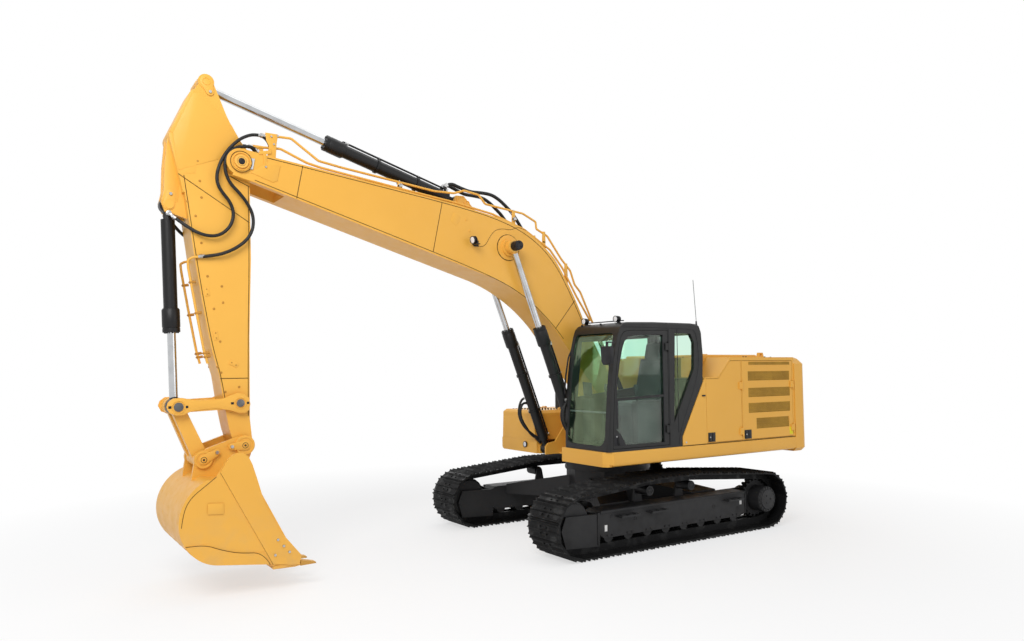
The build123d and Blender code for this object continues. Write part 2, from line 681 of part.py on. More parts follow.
def screen_face(gap):
    """Front window seen from ahead, with rounded corners, made smaller by a gap."""
    with BuildSketch(Plane.XY, mode=Mode.PRIVATE) as window:
        with BuildLine():
            Polyline((screen_inner_y + gap, 1372 + gap), (screen_outer_y - gap, 1372 + gap),
                     (screen_outer_y - gap, 2885 - gap), (screen_inner_y + gap, 2885 - gap), close=True)
        make_face()
        fillet(window.vertices().group_by(Axis.Y)[0], 130 - gap)
        fillet(window.vertices().group_by(Axis.Y)[-1], 70 - gap)
    return window.sketch


def screen_prism(gap, mode):
    """Front window run through the front wall of the cab."""
    with BuildSketch(Plane(origin=(cab_front_x - 330, 0, 0), x_dir=(0, 1, 0), z_dir=(1, 0, 0))) as window:
        add(screen_face(gap))
    extrude(window.sketch, amount=400, mode=mode)


with BuildPart() as cab_shell:
    plate(cab_outline, cab_middle, cab_width)
    with BuildSketch(Plane.XY.offset(cab_floor_z - 1)) as plan:
        with BuildLine():
            Polyline((cab_rear_x - 10, cab_inner_y), (cab_front_x, cab_inner_y), (cab_front_x, cab_outer_y),
                     (cab_rear_x - 10, cab_outer_y), close=True)
        make_face()
        fillet(plan.vertices().group_by(Axis.X)[-1], cab_corner)
    extrude(plan.sketch, amount=cab_roof - cab_floor_z + 2, mode=Mode.INTERSECT)
    chamfer(cab_shell.edges().filter_by(Axis.X).group_by(Axis.Z)[-1], 22)
    plate(shrunk(cab_outline, cab_wall), cab_middle, cab_width - 2 * cab_wall, mode=Mode.SUBTRACT)
    screen_prism(0, Mode.SUBTRACT)
    plate(door_outline, cab_outer_y, 3 * cab_wall, mode=Mode.SUBTRACT)
    plate(quarter_glass, cab_outer_y, 3 * cab_wall, mode=Mode.SUBTRACT)
    plate(right_glass, cab_inner_y, 3 * cab_wall, mode=Mode.SUBTRACT)
    block((cab_rear_x - 60, cab_rear_x + 140), (cab_inner_y + 120, cab_outer_y - 120), (2250, 2880),
          mode=Mode.SUBTRACT)
    fixed_hinge(hinge_x + panel_gap / 2, cab_outer_y, 1, cab_hinge_heights)
keep(cab_shell, "cab_shell")

with BuildPart() as cab_door:
    plate(shrunk(door_outline, panel_gap), cab_outer_y - cab_wall / 2, cab_wall)
    plate(upper_glass, cab_outer_y, 3 * cab_wall, mode=Mode.SUBTRACT)
    plate(lower_glass, cab_outer_y, 3 * cab_wall, mode=Mode.SUBTRACT)
    moving_hinge(hinge_x + panel_gap / 2, cab_outer_y, 1, cab_hinge_heights)
keep(cab_door, "cab_door")

with BuildPart() as door_glass:
    for pane in (upper_glass, lower_glass):
        plate(shrunk(pane, rest_gap), cab_outer_y - cab_wall / 2, glass)
keep(door_glass, "door_glass")

with BuildPart() as windscreen:
    plate(shrunk(cab_outline, glass_depth), cab_middle, cab_width)
    plate(shrunk(cab_outline, glass_depth + glass), cab_middle, cab_width + 2, mode=Mode.SUBTRACT)
    screen_prism(rest_gap, Mode.INTERSECT)
with BuildPart() as cab_glass:
    add(windscreen.part)
    for pane, across in ((quarter_glass, cab_outer_y - cab_wall / 2), (right_glass, cab_inner_y + cab_wall / 2)):
        plate(shrunk(pane, rest_gap), across, glass)
keep(cab_glass, "cab_glass")

room_floor = cab_floor_z + cab_wall
with BuildPart() as operator_seat:
    block((60, 560), (760, 1240), (room_floor + 380, room_floor + 500))
    block((150, 470), (850, 1150), (room_floor + rest_gap, room_floor + 380))
    slab([(150, room_floor + 500), (20, room_floor + 500), (-110, room_floor + 1150), (-20, room_floor + 1180)],
         1000, 470)
    slab([(-95, room_floor + 1170), (-150, room_floor + 1400), (-70, room_floor + 1410), (-10, room_floor + 1170)],
         1000, 260)
keep(operator_seat, "operator_seat")

with BuildPart() as cab_controls:
    for across in (690, 1310):
        block((150, 620), (across - 60, across + 60), (room_floor + rest_gap, room_floor + 560))
        shaft((560, room_floor + 560), (590, room_floor + 720), across, 20, 8)
    block((880, 960), (600, 760), (room_floor + rest_gap, room_floor + 620))
    for across in (920, 1080):
        block((800, 980), (across - 50, across + 50), (room_floor + rest_gap, room_floor + 40))
        shaft((900, room_floor + 40), (850, room_floor + 420), across, 12, 8)
keep(cab_controls, "cab_controls")

# Boom: a bent box whose nose is a fork round the stick
boom_rows = [(669, 3098), ((856, 3470), (1201, 3996)), ((1651, 4330), (2189, 4514)), (2820, 4620), (3643, 4720),
             (5370, 4917), (5650, 4958), (5760, 4640), (5513, 4583), (4187, 4206), (2300, 3670),
             ((1705, 3390), (1234, 2999)), (1077, 2814)]
slot_x = 5140
hub_radius = 158
with BuildPart() as boom:
    foot_left = (boom_foot[0] - 150, boom_foot[1] + 60)
    foot_right = (boom_foot[0] + 140, boom_foot[1] - 70)
    slab([foot_left] + boom_rows + [foot_right], 0, 2 * boom_half)
    disc(boom_foot, hub_radius, 0, 2 * boom_half)
    disc(stick_pin, hub_radius, 0, 2 * boom_half)
    block((slot_x, stick_pin[0] + 400), (-stick_half - fork_gap, stick_half + fork_gap),
          (stick_pin[1] - 500, stick_pin[1] + 400), mode=Mode.SUBTRACT)
    for across in (1, -1):
        disc(boom_cylinder_head, 120, across * (boom_half + 24), 52, boss_sides)
        slab([(stick_cylinder_foot[0] - 300, 4560), (stick_cylinder_foot[0] + 190, 4560),
              (stick_cylinder_foot[0] + 100, stick_cylinder_foot[1] - 20),
              (stick_cylinder_foot[0] + 60, stick_cylinder_foot[1] + 75),
              (stick_cylinder_foot[0] - 60, stick_cylinder_foot[1] + 80)], across * (eye_half + fork_gap + 20), 40)
    disc(stick_cylinder_foot, pin_radius, 0, 2 * (eye_half + fork_gap) + 100, pin_sides)
    for across in (1, -1):
        disc(stick_pin, nose_boss, across * (boom_half + 8), 20, boss_sides)
        disc(boom_cylinder_head, head_pad, across * (boom_half + 4), 12, boss_sides)
        slab([(4950, 4800), (5400, 4852), (5400, 4906), (4950, 4856)], across * (boom_half - 42), 84)
    bore(boom_foot, pin_radius + rest_gap, 0, 2 * boom_half + 1)
    bore(stick_pin, pin_radius + rest_gap, 0, 2 * boom_half + 40)
keep(boom, "boom")

with BuildPart() as boom_pins:
    disc(boom_foot, pin_radius, 0, 2 * (girder_y + girder_plate / 2 + 18), pin_sides)
keep(boom_pins, "boom_foot_pin")

with BuildPart() as stick_pins:
    disc(stick_pin, pin_radius, 0, 2 * (boom_half + 36), pin_sides)
    for across in (1, -1):
        disc(stick_pin, pin_radius + 26, across * (boom_half + 30), 18, boss_sides)
keep(stick_pins, "stick_pin")

# Stick: tapered box with two ears on top, two lugs in front and a bored nose
stick_outline = [(5971, 5709), (5812, 5337), (5695, 5117), (5560, 4953), (5500, 4800), (5544, 4599), (5518, 3705),
                 (5524, 2806), (5508, 1866), (5475, 1600), (5580, 1476), (5685, 1600), (5734, 1760), (5798, 2059),
                 (5850, 2364), (5933, 2635), (6034, 3126), (6132, 3662), (6280, 4592), (6350, 4900), (6240, 5330),
                 (6148, 5620), (6043, 5780)]
with BuildPart() as stick:
    slab(stick_outline, 0, 2 * stick_half)
    slab([(5600, 5050), (5800, 5110), (6160, 5560), (6300, 5900), (5800, 5900)], 0,
         2 * (eye_half + fork_gap), mode=Mode.SUBTRACT)
    for across in (1, -1):
        slab([(6200, 4120), (bucket_cylinder_foot[0] + 40, bucket_cylinder_foot[1] - 80),
              (bucket_cylinder_foot[0] + 85, bucket_cylinder_foot[1] + 30),
              (bucket_cylinder_foot[0] + 20, bucket_cylinder_foot[1] + 90), (6290, 4640)],
             across * (eye_half + fork_gap + 20), 40)
    disc(stick_pin, 175, 0, 2 * stick_half, boss_sides)
    bore(stick_pin, pin_radius + rest_gap, 0, 2 * stick_half + 1)
    disc(bucket_cylinder_foot, pin_radius, 0, 2 * (eye_half + fork_gap) + 110, pin_sides)
    disc(idler_link_pin, small_pin, 0, 2 * (stick_half + fork_gap + link_plate + 14))
    bore(bucket_pin, pin_radius + rest_gap, 0, 2 * stick_half + 1)
keep(stick, "stick")


def make_tube(name, foot, head, ways, radius, length, pin, rod):
    """Cylinder tubes with foot eye and gland, bored for the rod; ways lists distances across."""
    with BuildPart() as tube:
        for across in ways:
            end = between(foot, head, length)
            shaft(between(foot, head, neck_length - 20), end, across, radius, boss_sides)
            shaft(between(foot, head, length - gland_length), end, across, radius + gland_swell, boss_sides)
            shaft(between(foot, head, length - gland_collar), end, across, radius + gland_swell + 10, boss_sides)
            shaft(foot, between(foot, head, neck_length), across, eye_half - 4, 8)
            disc(foot, pin + eye_wall, across, 2 * eye_half, 0 if across == ways[0] else boss_sides)
        for across in ways:
            bore(foot, pin + rest_gap, across, 2 * eye_half + 1)
            shaft(between(foot, head, neck_length + 15), between(foot, head, length + 5), across,
                  rod + rest_gap, boss_sides, Mode.SUBTRACT)
    keep(tube, name)


def make_rod(name, foot, head, ways, radius, length, inserted, eye_ends):
    """Piston rods that reach into their tubes; eye_ends are the eye's two sides off its centre."""
    with BuildPart() as rod:
        for across in ways:
            outward = 1 if across >= 0 else -1
            inner, outer = eye_ends
            shaft(between(foot, head, length - inserted), head, across, radius, boss_sides)
            disc(head, pin_radius + eye_wall, across, 2 * eye_half, boss_sides)
            disc(head, pin_radius, across + outward * (inner + outer) / 2, outer - inner, pin_sides)
    keep(rod, name)


boom_ways = (boom_cylinder_y, -boom_cylinder_y)
make_tube("boom_cylinder_tubes", boom_cylinder_foot, boom_cylinder_head, boom_ways, boom_tube_radius,
          boom_tube_length, small_pin, boom_rod_radius)
make_rod("boom_cylinder_rods", boom_cylinder_foot, boom_cylinder_head, boom_ways, boom_rod_radius,
         boom_tube_length, 450, (-eye_half, eye_half + 60))
make_tube("stick_cylinder_tube", stick_cylinder_foot, stick_cylinder_head, (0,), stick_tube_radius,
          stick_tube_length, pin_radius, stick_rod_radius)
make_rod("stick_cylinder_rod", stick_cylinder_foot, stick_cylinder_head, (0,), stick_rod_radius,
         stick_tube_length, 680, (-eye_half - 6, eye_half + 6))
make_tube("bucket_cylinder_tube", bucket_cylinder_foot, rod_link_pin, (0,), bucket_tube_radius,
          bucket_tube_length, pin_radius, bucket_rod_radius)
make_rod("bucket_cylinder_rod", bucket_cylinder_foot, rod_link_pin, (0,), bucket_rod_radius,
         bucket_tube_length, 680, (-eye_half - 24, eye_half + 24))

# Bucket linkage
link_y = stick_half + fork_gap + link_plate / 2
with BuildPart() as idler_links:
    for across in (1, -1):
        slab([(idler_link_pin[0], idler_link_pin[1] - 62), (rod_link_pin[0], rod_link_pin[1] - 62),
              (rod_link_pin[0], rod_link_pin[1] + 62), (idler_link_pin[0], idler_link_pin[1] + 62)],
             across * link_y, link_plate)
        disc(idler_link_pin, 96, across * link_y, link_plate, boss_sides)
        disc(rod_link_pin, 96, across * link_y, link_plate, boss_sides)
        bore(idler_link_pin, small_pin + rest_gap, across * link_y, link_plate + 1)
        disc(rod_link_pin, 62, across * (link_y - 6), link_plate + 28, pin_sides)
keep(idler_links, "idler_links")

with BuildPart() as power_link:
    for across in (1, -1):
        slab([(rod_link_pin[0] - 75, rod_link_pin[1]), (power_link_pin[0] - 75, power_link_pin[1] + 30),
              (power_link_pin[0] + 75, power_link_pin[1] - 30), (rod_link_pin[0] + 75, rod_link_pin[1])],
             across * 130, 90)
        disc(rod_link_pin, 92, across * 130, 90, boss_sides)
    disc(power_link_pin, 92, 0, 350, boss_sides)
    slab([between(rod_link_pin, power_link_pin, 250), between(rod_link_pin, power_link_pin, 430),
          (power_link_pin[0] + 150, power_link_pin[1] + 230)], 0, 300)
    bore(power_link_pin, small_pin + rest_gap, 0, 400)
keep(power_link, "power_link")

# Bucket: rolled shell between side plates, with ears, lip and teeth
top_front = (5575, 1225)
lip = (bucket_tip[0] + tooth_length, bucket_tip[1] + 18)


# Upper end of the side plates, from the front edge over the shoulder to the back
shoulder_rows = [(5546, 1234), (5602, 1403), (5644, 1489), (5690, 1524), (5740, 1536), (5795, 1522), (5844, 1489),
                 (5922, 1374)]


def bucket_profile(inward):
    """Closed side outline of the bucket body, moved inward by a plate thickness."""
    with BuildSketch(Plane.XY, mode=Mode.PRIVATE) as profile:
        with BuildLine():
            heel = heel_radius - inward
            floor_end = (heel_centre[0] + heel * cos(radians(-84)), heel_centre[1] + heel * sin(radians(-84)))
            heel_mid = (heel_centre[0] + heel * cos(radians(-10)), heel_centre[1] + heel * sin(radians(-10)))
            back_end = (heel_centre[0] + heel * cos(radians(66)), heel_centre[1] + heel * sin(radians(66)))
            lip_start = (lip[0] - inward, lip[1] + inward)
            top_end = (top_front[0] - inward, top_front[1] - inward)
            Line(lip_start, floor_end)
            ThreePointArc(floor_end, heel_mid, back_end)
            Line(back_end, top_end)
            Line(top_end, lip_start)
        make_face()
    return profile.sketch


with BuildPart() as bucket:
    with BuildSketch(side(0)) as body:
        add(bucket_profile(0))
    extrude(body.sketch, amount=bucket_half, both=True)
    with BuildSketch(side(0)) as hollow:
        add(bucket_profile(bucket_shell))
    extrude(hollow.sketch, amount=bucket_half - bucket_side, both=True, mode=Mode.SUBTRACT)
    for across in (1, -1):
        slab([(5600, 1200), (5500, 1500), (5580, 1690), (5700, 1660), (5990, 1560), (6110, 1440), (6150, 1180)],
             across * (stick_half + fork_gap + 24), 48)
        disc(bucket_pin, 112, across * (stick_half + fork_gap + 30), 60, boss_sides)
        disc(power_link_pin, 100, across * (stick_half + fork_gap + 30), 60, boss_sides)
        slab(shoulder_rows + [(5972, 1298), (6062, 1225), (5900, 1100), (5500, 1050)],
             across * (bucket_half - bucket_side / 2), bucket_side)
        slab([(lip[0] + 14, lip[1]), (5363, 301), (5934, 1341)] + shoulder_rows[::-1][1:]
             + [(5467, 980), (5304, 665), (5051, 361)], across * (bucket_half + cutter / 2 - 1), cutter)
        slab([(5398, 306), (5475, 447), (5712, 466), (5910, 526), (6090, 609), (6268, 602), ((6190, 494), (5917, 371))],
             across * (bucket_half + wear_plate / 2 - 1), wear_plate)
    slab([(lip[0], lip[1]), (lip[0] + 300, lip[1] - 20), (lip[0] + 300, lip[1] + 10), (lip[0] + 60, lip[1] + 52)],
         0, 2 * bucket_half)
    disc(bucket_pin, pin_radius, 0, 2 * (stick_half + fork_gap + 70))
    disc(power_link_pin, small_pin, 0, 2 * (stick_half + fork_gap + 70), pin_sides)
keep(bucket, "bucket")

with BuildPart() as bucket_teeth:
    for number in range(tooth_count):
        across = (bucket_half - tooth_width / 2) * (2 * number / (tooth_count - 1) - 1)
        slab([(bucket_tip[0], bucket_tip[1]), (lip[0] - rest_gap, lip[1] - 22), (lip[0] - rest_gap, lip[1] + 40),
              (bucket_tip[0] + 10, bucket_tip[1] + 18)], across, tooth_width)
keep(bucket_teeth, "bucket_teeth")

# Fittings
with BuildPart() as work_lamps:
    for across in (cab_inner_y + 46, cab_outer_y - 225):
        with BuildSketch(Plane(origin=(roof_lamp_x - 34, across, roof_lamp_z), x_dir=(0, 1, 0),
                               z_dir=(1, 0, 0))) as drum:
            RegularPolygon(lamp_radius, 12)
        extrude(drum.sketch, amount=68)
        block((roof_lamp_x - 40, roof_lamp_x), (across - 14, across + 14), (roof_lamp_z - lamp_stand, roof_lamp_z))
    with BuildSketch(Plane(origin=(box_front_x + rest_gap, -806, 1226), x_dir=(0, 1, 0), z_dir=(1, 0, 0))) as drum:
        RegularPolygon(42, 16)
    extrude(drum.sketch, amount=10)
keep(work_lamps, "work_lamps")
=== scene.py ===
# %% [markdown]
# Crawler excavator, dressed for its picture
#
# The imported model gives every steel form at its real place, in metres. This script adds what a
# painter and a fitter would add: paint, dust, glass, hoses, pipes, louvres, bolts and lamps.
# Each step says first what the piece is on the real machine, then how it is made here.

import math

import bmesh
import bpy
from mathutils import Matrix, Vector


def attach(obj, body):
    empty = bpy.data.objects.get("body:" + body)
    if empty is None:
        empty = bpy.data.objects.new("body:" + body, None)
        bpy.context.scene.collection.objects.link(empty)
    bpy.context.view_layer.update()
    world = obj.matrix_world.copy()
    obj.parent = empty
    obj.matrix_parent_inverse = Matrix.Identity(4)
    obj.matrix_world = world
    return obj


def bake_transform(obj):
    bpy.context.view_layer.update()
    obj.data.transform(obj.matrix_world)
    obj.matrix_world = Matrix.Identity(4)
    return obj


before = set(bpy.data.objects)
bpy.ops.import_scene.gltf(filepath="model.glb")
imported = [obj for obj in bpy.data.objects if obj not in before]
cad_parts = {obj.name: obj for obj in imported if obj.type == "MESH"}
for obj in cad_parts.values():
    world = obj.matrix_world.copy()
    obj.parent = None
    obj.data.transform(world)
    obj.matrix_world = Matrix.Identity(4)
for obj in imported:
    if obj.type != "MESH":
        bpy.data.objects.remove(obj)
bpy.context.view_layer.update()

# %% [markdown]
# The camera stands a few paces in front of the machine on its left, a little above head height,
# and looks slightly upward at the arm. A place, a point to look at and a small roll are enough:
# the three axes of the camera come from cross products, as in any camera rig.

# %% Camera
camera_place = Vector((6.3605, 9.319, 2.429))
camera_target = Vector((-2.1745, -3.461, 3.354))
camera_roll = math.radians(-0.452)

ahead = (camera_target - camera_place).normalized()
across = ahead.cross(Vector((0, 0, 1))).normalized()
upward = across.cross(ahead)
right = math.cos(camera_roll) * across + math.sin(camera_roll) * upward
above = math.cos(camera_roll) * upward - math.sin(camera_roll) * across
camera = bpy.data.objects.new("camera", bpy.data.cameras.new("camera"))
camera.data.lens = 27.375
camera.data.sensor_width = 36
camera.data.clip_end = 200
turned = Matrix((right, above, -ahead)).transposed()
camera.matrix_world = Matrix.Translation(camera_place) @ turned.to_4x4()
bpy.context.scene.collection.objects.link(camera)
bpy.context.scene.camera = camera
print("camera lens", camera.data.lens, "mm")

# %% [markdown]
# A studio for a machine this size is a white floor under very large soft lamps. The floor is one
# wide sheet, far larger than the machine, and the world is a plain pale grey, so paint keeps the
# colour that it is given and shadows stay soft. The camera and mirror-like surfaces see white.


# %% Floor sheet
def new_object(name, mesh_or_curve):
    piece = bpy.data.objects.new(name, mesh_or_curve)
    bpy.context.scene.collection.objects.link(piece)
    return piece


floor_form = bmesh.new()
bmesh.ops.create_grid(floor_form, x_segments=1, y_segments=1, size=90)
floor_mesh = bpy.data.meshes.new("studio_floor")
floor_form.to_mesh(floor_mesh)
floor_form.free()
floor = new_object("studio_floor", floor_mesh)
floor.location.z = -0.004
print("floor sheet", [round(side) for side in floor.dimensions[:2]], "m")

# %% [markdown]
# Small helpers write the shader nodes that recur below: one sum, one change of range, one mix of
# two shaders, and a switch that is 1 only where the camera or a mirror looks. With the switch the
# surroundings can be pure white to the eye and still light the machine softly.


# %% Short calls for nodes
def plain_nodes(owner):
    owner.use_nodes = True
    owner.node_tree.nodes.clear()
    return owner.node_tree.nodes, owner.node_tree.links


def math_node(nodes, links, kind, first, second):
    """One sum: a number is set on its socket, and another node's output is linked."""
    step = nodes.new("ShaderNodeMath")
    step.operation = kind
    for socket, value in zip(step.inputs, (first, second)):
        if isinstance(value, (int, float)):
            socket.default_value = value
        else:
            links.new(value, socket)
    return step.outputs[0]


def range_node(nodes, links, value, low, high, out_low, out_high):
    span = nodes.new("ShaderNodeMapRange")
    for socket, number in (("From Min", low), ("From Max", high), ("To Min", out_low), ("To Max", out_high)):
        span.inputs[socket].default_value = number
    links.new(value, span.inputs["Value"])
    return span


def shader_mix(nodes, links, share, first, second):
    blend = nodes.new("ShaderNodeMixShader")
    for socket, value in zip(blend.inputs, (share, first, second)):
        links.new(value, socket)
    return blend.outputs[0]


def white_for_eyes(nodes, links):
    """1 for rays from the camera, from mirror-like surfaces and through glass, else 0."""
    seen_by = nodes.new("ShaderNodeLightPath")
    total = seen_by.outputs["Is Camera Ray"]
    for kind in ("Is Glossy Ray", "Is Transmission Ray"):
        total = math_node(nodes, links, "MAXIMUM", total, seen_by.outputs[kind])
    return total


print("node calls ready")

# %% [markdown]
# The floor is matt near the machine, where it takes the shadow, and fades to plain white from 4 to
# 9 metres out, so that no horizon shows. The world does the same with its own background.


# %% Floor paint and world
floor_paint = bpy.data.materials.new("studio_floor")
nodes, links = plain_nodes(floor_paint)
floor_out = nodes.new("ShaderNodeOutputMaterial")
floor_sheet = nodes.new("ShaderNodeBsdfDiffuse")
floor_sheet.inputs["Color"].default_value = (0.92, 0.92, 0.92, 1)
floor_glow = nodes.new("ShaderNodeEmission")
floor_place = nodes.new("ShaderNodeTexCoord")
from_middle = nodes.new("ShaderNodeVectorMath")
from_middle.operation = "LENGTH"
links.new(floor_place.outputs["Object"], from_middle.inputs[0])
fade = range_node(nodes, links, from_middle.outputs["Value"], 4.0, 9.0, 0.62, 1.0)
white_share = math_node(nodes, links, "MULTIPLY", fade.outputs[0], white_for_eyes(nodes, links))
floor_look = shader_mix(nodes, links, white_share, floor_sheet.outputs[0], floor_glow.outputs[0])
links.new(floor_look, floor_out.inputs["Surface"])
floor_mesh.materials.append(floor_paint)

world = bpy.data.worlds.new("studio")
bpy.context.scene.world = world
nodes, links = plain_nodes(world)
world_out = nodes.new("ShaderNodeOutputWorld")
backgrounds = []
for colour, strength in (((0.96, 0.97, 1.0, 1), 0.42), ((1, 1, 1, 1), 1.0)):
    background = nodes.new("ShaderNodeBackground")
    background.inputs["Color"].default_value = colour
    background.inputs["Strength"].default_value = strength
    backgrounds.append(background.outputs[0])
links.new(shader_mix(nodes, links, white_for_eyes(nodes, links), *backgrounds), world_out.inputs["Surface"])
print("backgrounds", len(backgrounds))

# %% [markdown]
# Four soft square lamps stand round the machine, larger than a car each. The key lamp on the left
# front gives the form, the others only lift the shadows.

# %% Soft lamps
# Columns: name, place, aim, size, power
lamp_table = [
    ("key_lamp", (8.5, 7.5, 9.0), (2.0, 0, 2.5), 6.0, 900),
    ("fill_lamp", (-8.0, 13.0, 6.0), (-2.5, 0, 2.0), 8.0, 260),
    ("top_lamp", (0.0, -2.0, 16.0), (0, 0, 2.0), 12.0, 420),
    ("back_lamp", (-6.0, -13.0, 9.0), (0, 0, 3.0), 8.0, 260),
]
for name, place, aim, size, power in lamp_table:
    light = bpy.data.lights.new(name, "AREA")
    light.size = size
    light.energy = power
    lamp = new_object(name, light)
    lamp.location = place
    lamp.rotation_euler = (Vector(aim) - Vector(place)).to_track_quat("-Z", "Y").to_euler()
bpy.context.scene.view_settings.view_transform = "Standard"
print("lamps", [row[0] for row in lamp_table])

# %% [markdown]
# Every finish on the machine is one shader with two habits of real steel: its colour is never
# quite even, and its gloss is broken by grain, dust and rubbing. A small kit of node helpers
# keeps each material short: cloudy noise, a ramp that sharpens it, a mix of two colours and a
# bump. All patterns read Object coordinates, so they stay where they are when a part moves.


# %% Node helpers
class Finish:
    """A material with one main shader and short calls that add the nodes round it."""

    def __init__(self, name):
        self.material = bpy.data.materials.new(name)
        self.nodes, self.links = plain_nodes(self.material)
        self.out = self.nodes.new("ShaderNodeOutputMaterial")
        self.shader = self.nodes.new("ShaderNodeBsdfPrincipled")
        self.links.new(self.shader.outputs[0], self.out.inputs["Surface"])
        self.place = self.nodes.new("ShaderNodeTexCoord").outputs["Object"]

    def set(self, **values):
        for socket, value in values.items():
            self.shader.inputs[socket.replace("_", " ")].default_value = value

    def stretched(self, scale):
        mapping = self.nodes.new("ShaderNodeMapping")
        mapping.inputs["Scale"].default_value = scale
        self.links.new(self.place, mapping.inputs["Vector"])
        return mapping.outputs[0]

    def clouds(self, scale, detail=4, rough=0.55, vector=None):
        noise = self.nodes.new("ShaderNodeTexNoise")
        noise.inputs["Scale"].default_value = scale
        noise.inputs["Detail"].default_value = detail
        noise.inputs["Roughness"].default_value = rough
        self.links.new(vector or self.place, noise.inputs["Vector"])
        return noise.outputs["Fac"]

    def between(self, value, low, high, out_low=0.0, out_high=1.0):
        span = range_node(self.nodes, self.links, value, low, high, out_low, out_high)
        span.interpolation_type = "SMOOTHSTEP"
        return span.outputs["Result"]

    def height(self, low, high):
        parts = self.nodes.new("ShaderNodeSeparateXYZ")
        self.links.new(self.place, parts.inputs[0])
        return self.between(parts.outputs["Z"], low, high, 1.0, 0.0)

    def inside(self, x, z, reach):
        """1 within reach of a line across the machine at x and z in metres, 0 outside it."""
        flat = self.nodes.new("ShaderNodeMapping")
        flat.inputs["Scale"].default_value = (1, 0, 1)
        flat.inputs["Location"].default_value = (-x, 0, -z)
        self.links.new(self.place, flat.inputs["Vector"])
        far = self.nodes.new("ShaderNodeVectorMath")
        far.operation = "LENGTH"
        self.links.new(flat.outputs[0], far.inputs[0])
        return self.between(far.outputs["Value"], reach - 0.001, reach + 0.001, 1.0, 0.0)

    def math(self, kind, first, second):
        return math_node(self.nodes, self.links, kind, first, second)

    def mix(self, share, first, second):
        blend = self.nodes.new("ShaderNodeMix")
        blend.data_type = "RGBA"
        self.links.new(share, blend.inputs[0])
        for socket, value in ((blend.inputs[6], first), (blend.inputs[7], second)):
            if isinstance(value, tuple):
                socket.default_value = (*value, 1) if len(value) == 3 else value
            else:
                self.links.new(value, socket)
        return blend.outputs[2]

    def colour(self, result):
        self.links.new(result, self.shader.inputs["Base Color"])

    def rough(self, result):
        self.links.new(result, self.shader.inputs["Roughness"])

    def bump(self, height, strength, distance):
        raised = self.nodes.new("ShaderNodeBump")
        raised.inputs["Strength"].default_value = strength
        raised.inputs["Distance"].default_value = distance
        self.links.new(height, raised.inputs["Height"])
        self.links.new(raised.outputs[0], self.shader.inputs["Normal"])


# The colour of painted pins and eyes, which rods and caps share
worn_amber = (0.80, 0.42, 0.068)
print("finish kit ready")

# %% [markdown]
# The body paint is a warm amber, baked on in a thick satin coat. Up close it has a fine orange
# peel, and over a whole panel it drifts a little lighter and darker. Dust settles low on the
# machine and rubs its gloss away, so roughness follows the same cloud as the dust.


# %% Amber body paint
def painted(name, colour, shade, dust, dust_top, gloss=0.42, coat=0.12):
    made = Finish(name)
    drift = made.clouds(0.55, 3)
    grain = made.clouds(240, 2)
    settled = made.math("MULTIPLY", made.height(0.1, dust_top), made.between(made.clouds(5.5, 7), 0.38, 0.72))
    body = made.mix(made.between(drift, 0.3, 0.7), colour, shade)
    made.colour(made.mix(made.math("MULTIPLY", settled, 0.22), body, dust))
    made.rough(made.math("ADD", made.between(made.clouds(9, 5), 0.3, 0.7, gloss - 0.05, gloss + 0.07),
                         made.math("MULTIPLY", settled, 0.3)))
    made.set(Coat_Weight=coat, Coat_Roughness=0.3, Specular_IOR_Level=0.28)
    made.bump(grain, 0.05, 0.0006)
    return made.material


amber_paint = painted("amber_paint", (0.830, 0.440, 0.072), (0.790, 0.408, 0.062),
                      (0.42, 0.33, 0.22), 1.3)
black_paint = painted("black_paint", (0.011, 0.011, 0.012), (0.016, 0.016, 0.017),
                      (0.045, 0.042, 0.038), 0.8, 0.5, 0.05)
cab_paint = painted("cab_paint", (0.0100, 0.0102, 0.0102), (0.0135, 0.0137, 0.0135),
                    (0.05, 0.048, 0.042), 1.2, 0.46, 0.05)
cylinder_paint = painted("cylinder_paint", (0.005, 0.005, 0.0055), (0.008, 0.008, 0.0085),
                         (0.04, 0.037, 0.032), 0.7, 0.44, 0.05)


def capped(name, centre, reach):
    """The body paint with a bare dark end round one axis, as on a greased pin."""
    made = Finish(name)
    worn_end = made.inside(centre[0], centre[1], reach)
    made.colour(made.mix(worn_end, worn_amber, (0.012, 0.011, 0.010)))
    made.rough(made.between(made.clouds(12, 4), 0.3, 0.7, 0.36, 0.46))
    made.bump(made.clouds(240, 2), 0.05, 0.0006)
    return made.material


capped_amber = capped("capped_amber", (4.0495, 4.800), 0.038)
print("paints", amber_paint.name, black_paint.name, cab_paint.name, cylinder_paint.name)

# %% [markdown]
# Track shoes, links and teeth are never painted twice: the black wears off at once and leaves
# dark steel with earth in every pit. The pits are a sharp noise that drives the bump, and the
# worn tops come from a coarser one.


# %% Track steel and tooth steel
def earthy_steel(name, dark, worn, earth, earth_share):
    made = Finish(name)
    pits = made.between(made.clouds(60, 6, 0.7), 0.42, 0.62)
    rubbed = made.between(made.clouds(7, 5), 0.48, 0.66)
    muddy = made.between(made.clouds(16, 8, 0.65), 0.62 - earth_share, 0.78)
    steel = made.mix(rubbed, dark, worn)
    made.colour(made.mix(muddy, steel, earth))
    made.rough(made.math("ADD", made.math("MULTIPLY", muddy, 0.25), made.between(rubbed, 0, 1, 0.62, 0.42)))
    made.set(Metallic=0.75)
    made.bump(pits, 0.25, 0.0015)
    return made.material


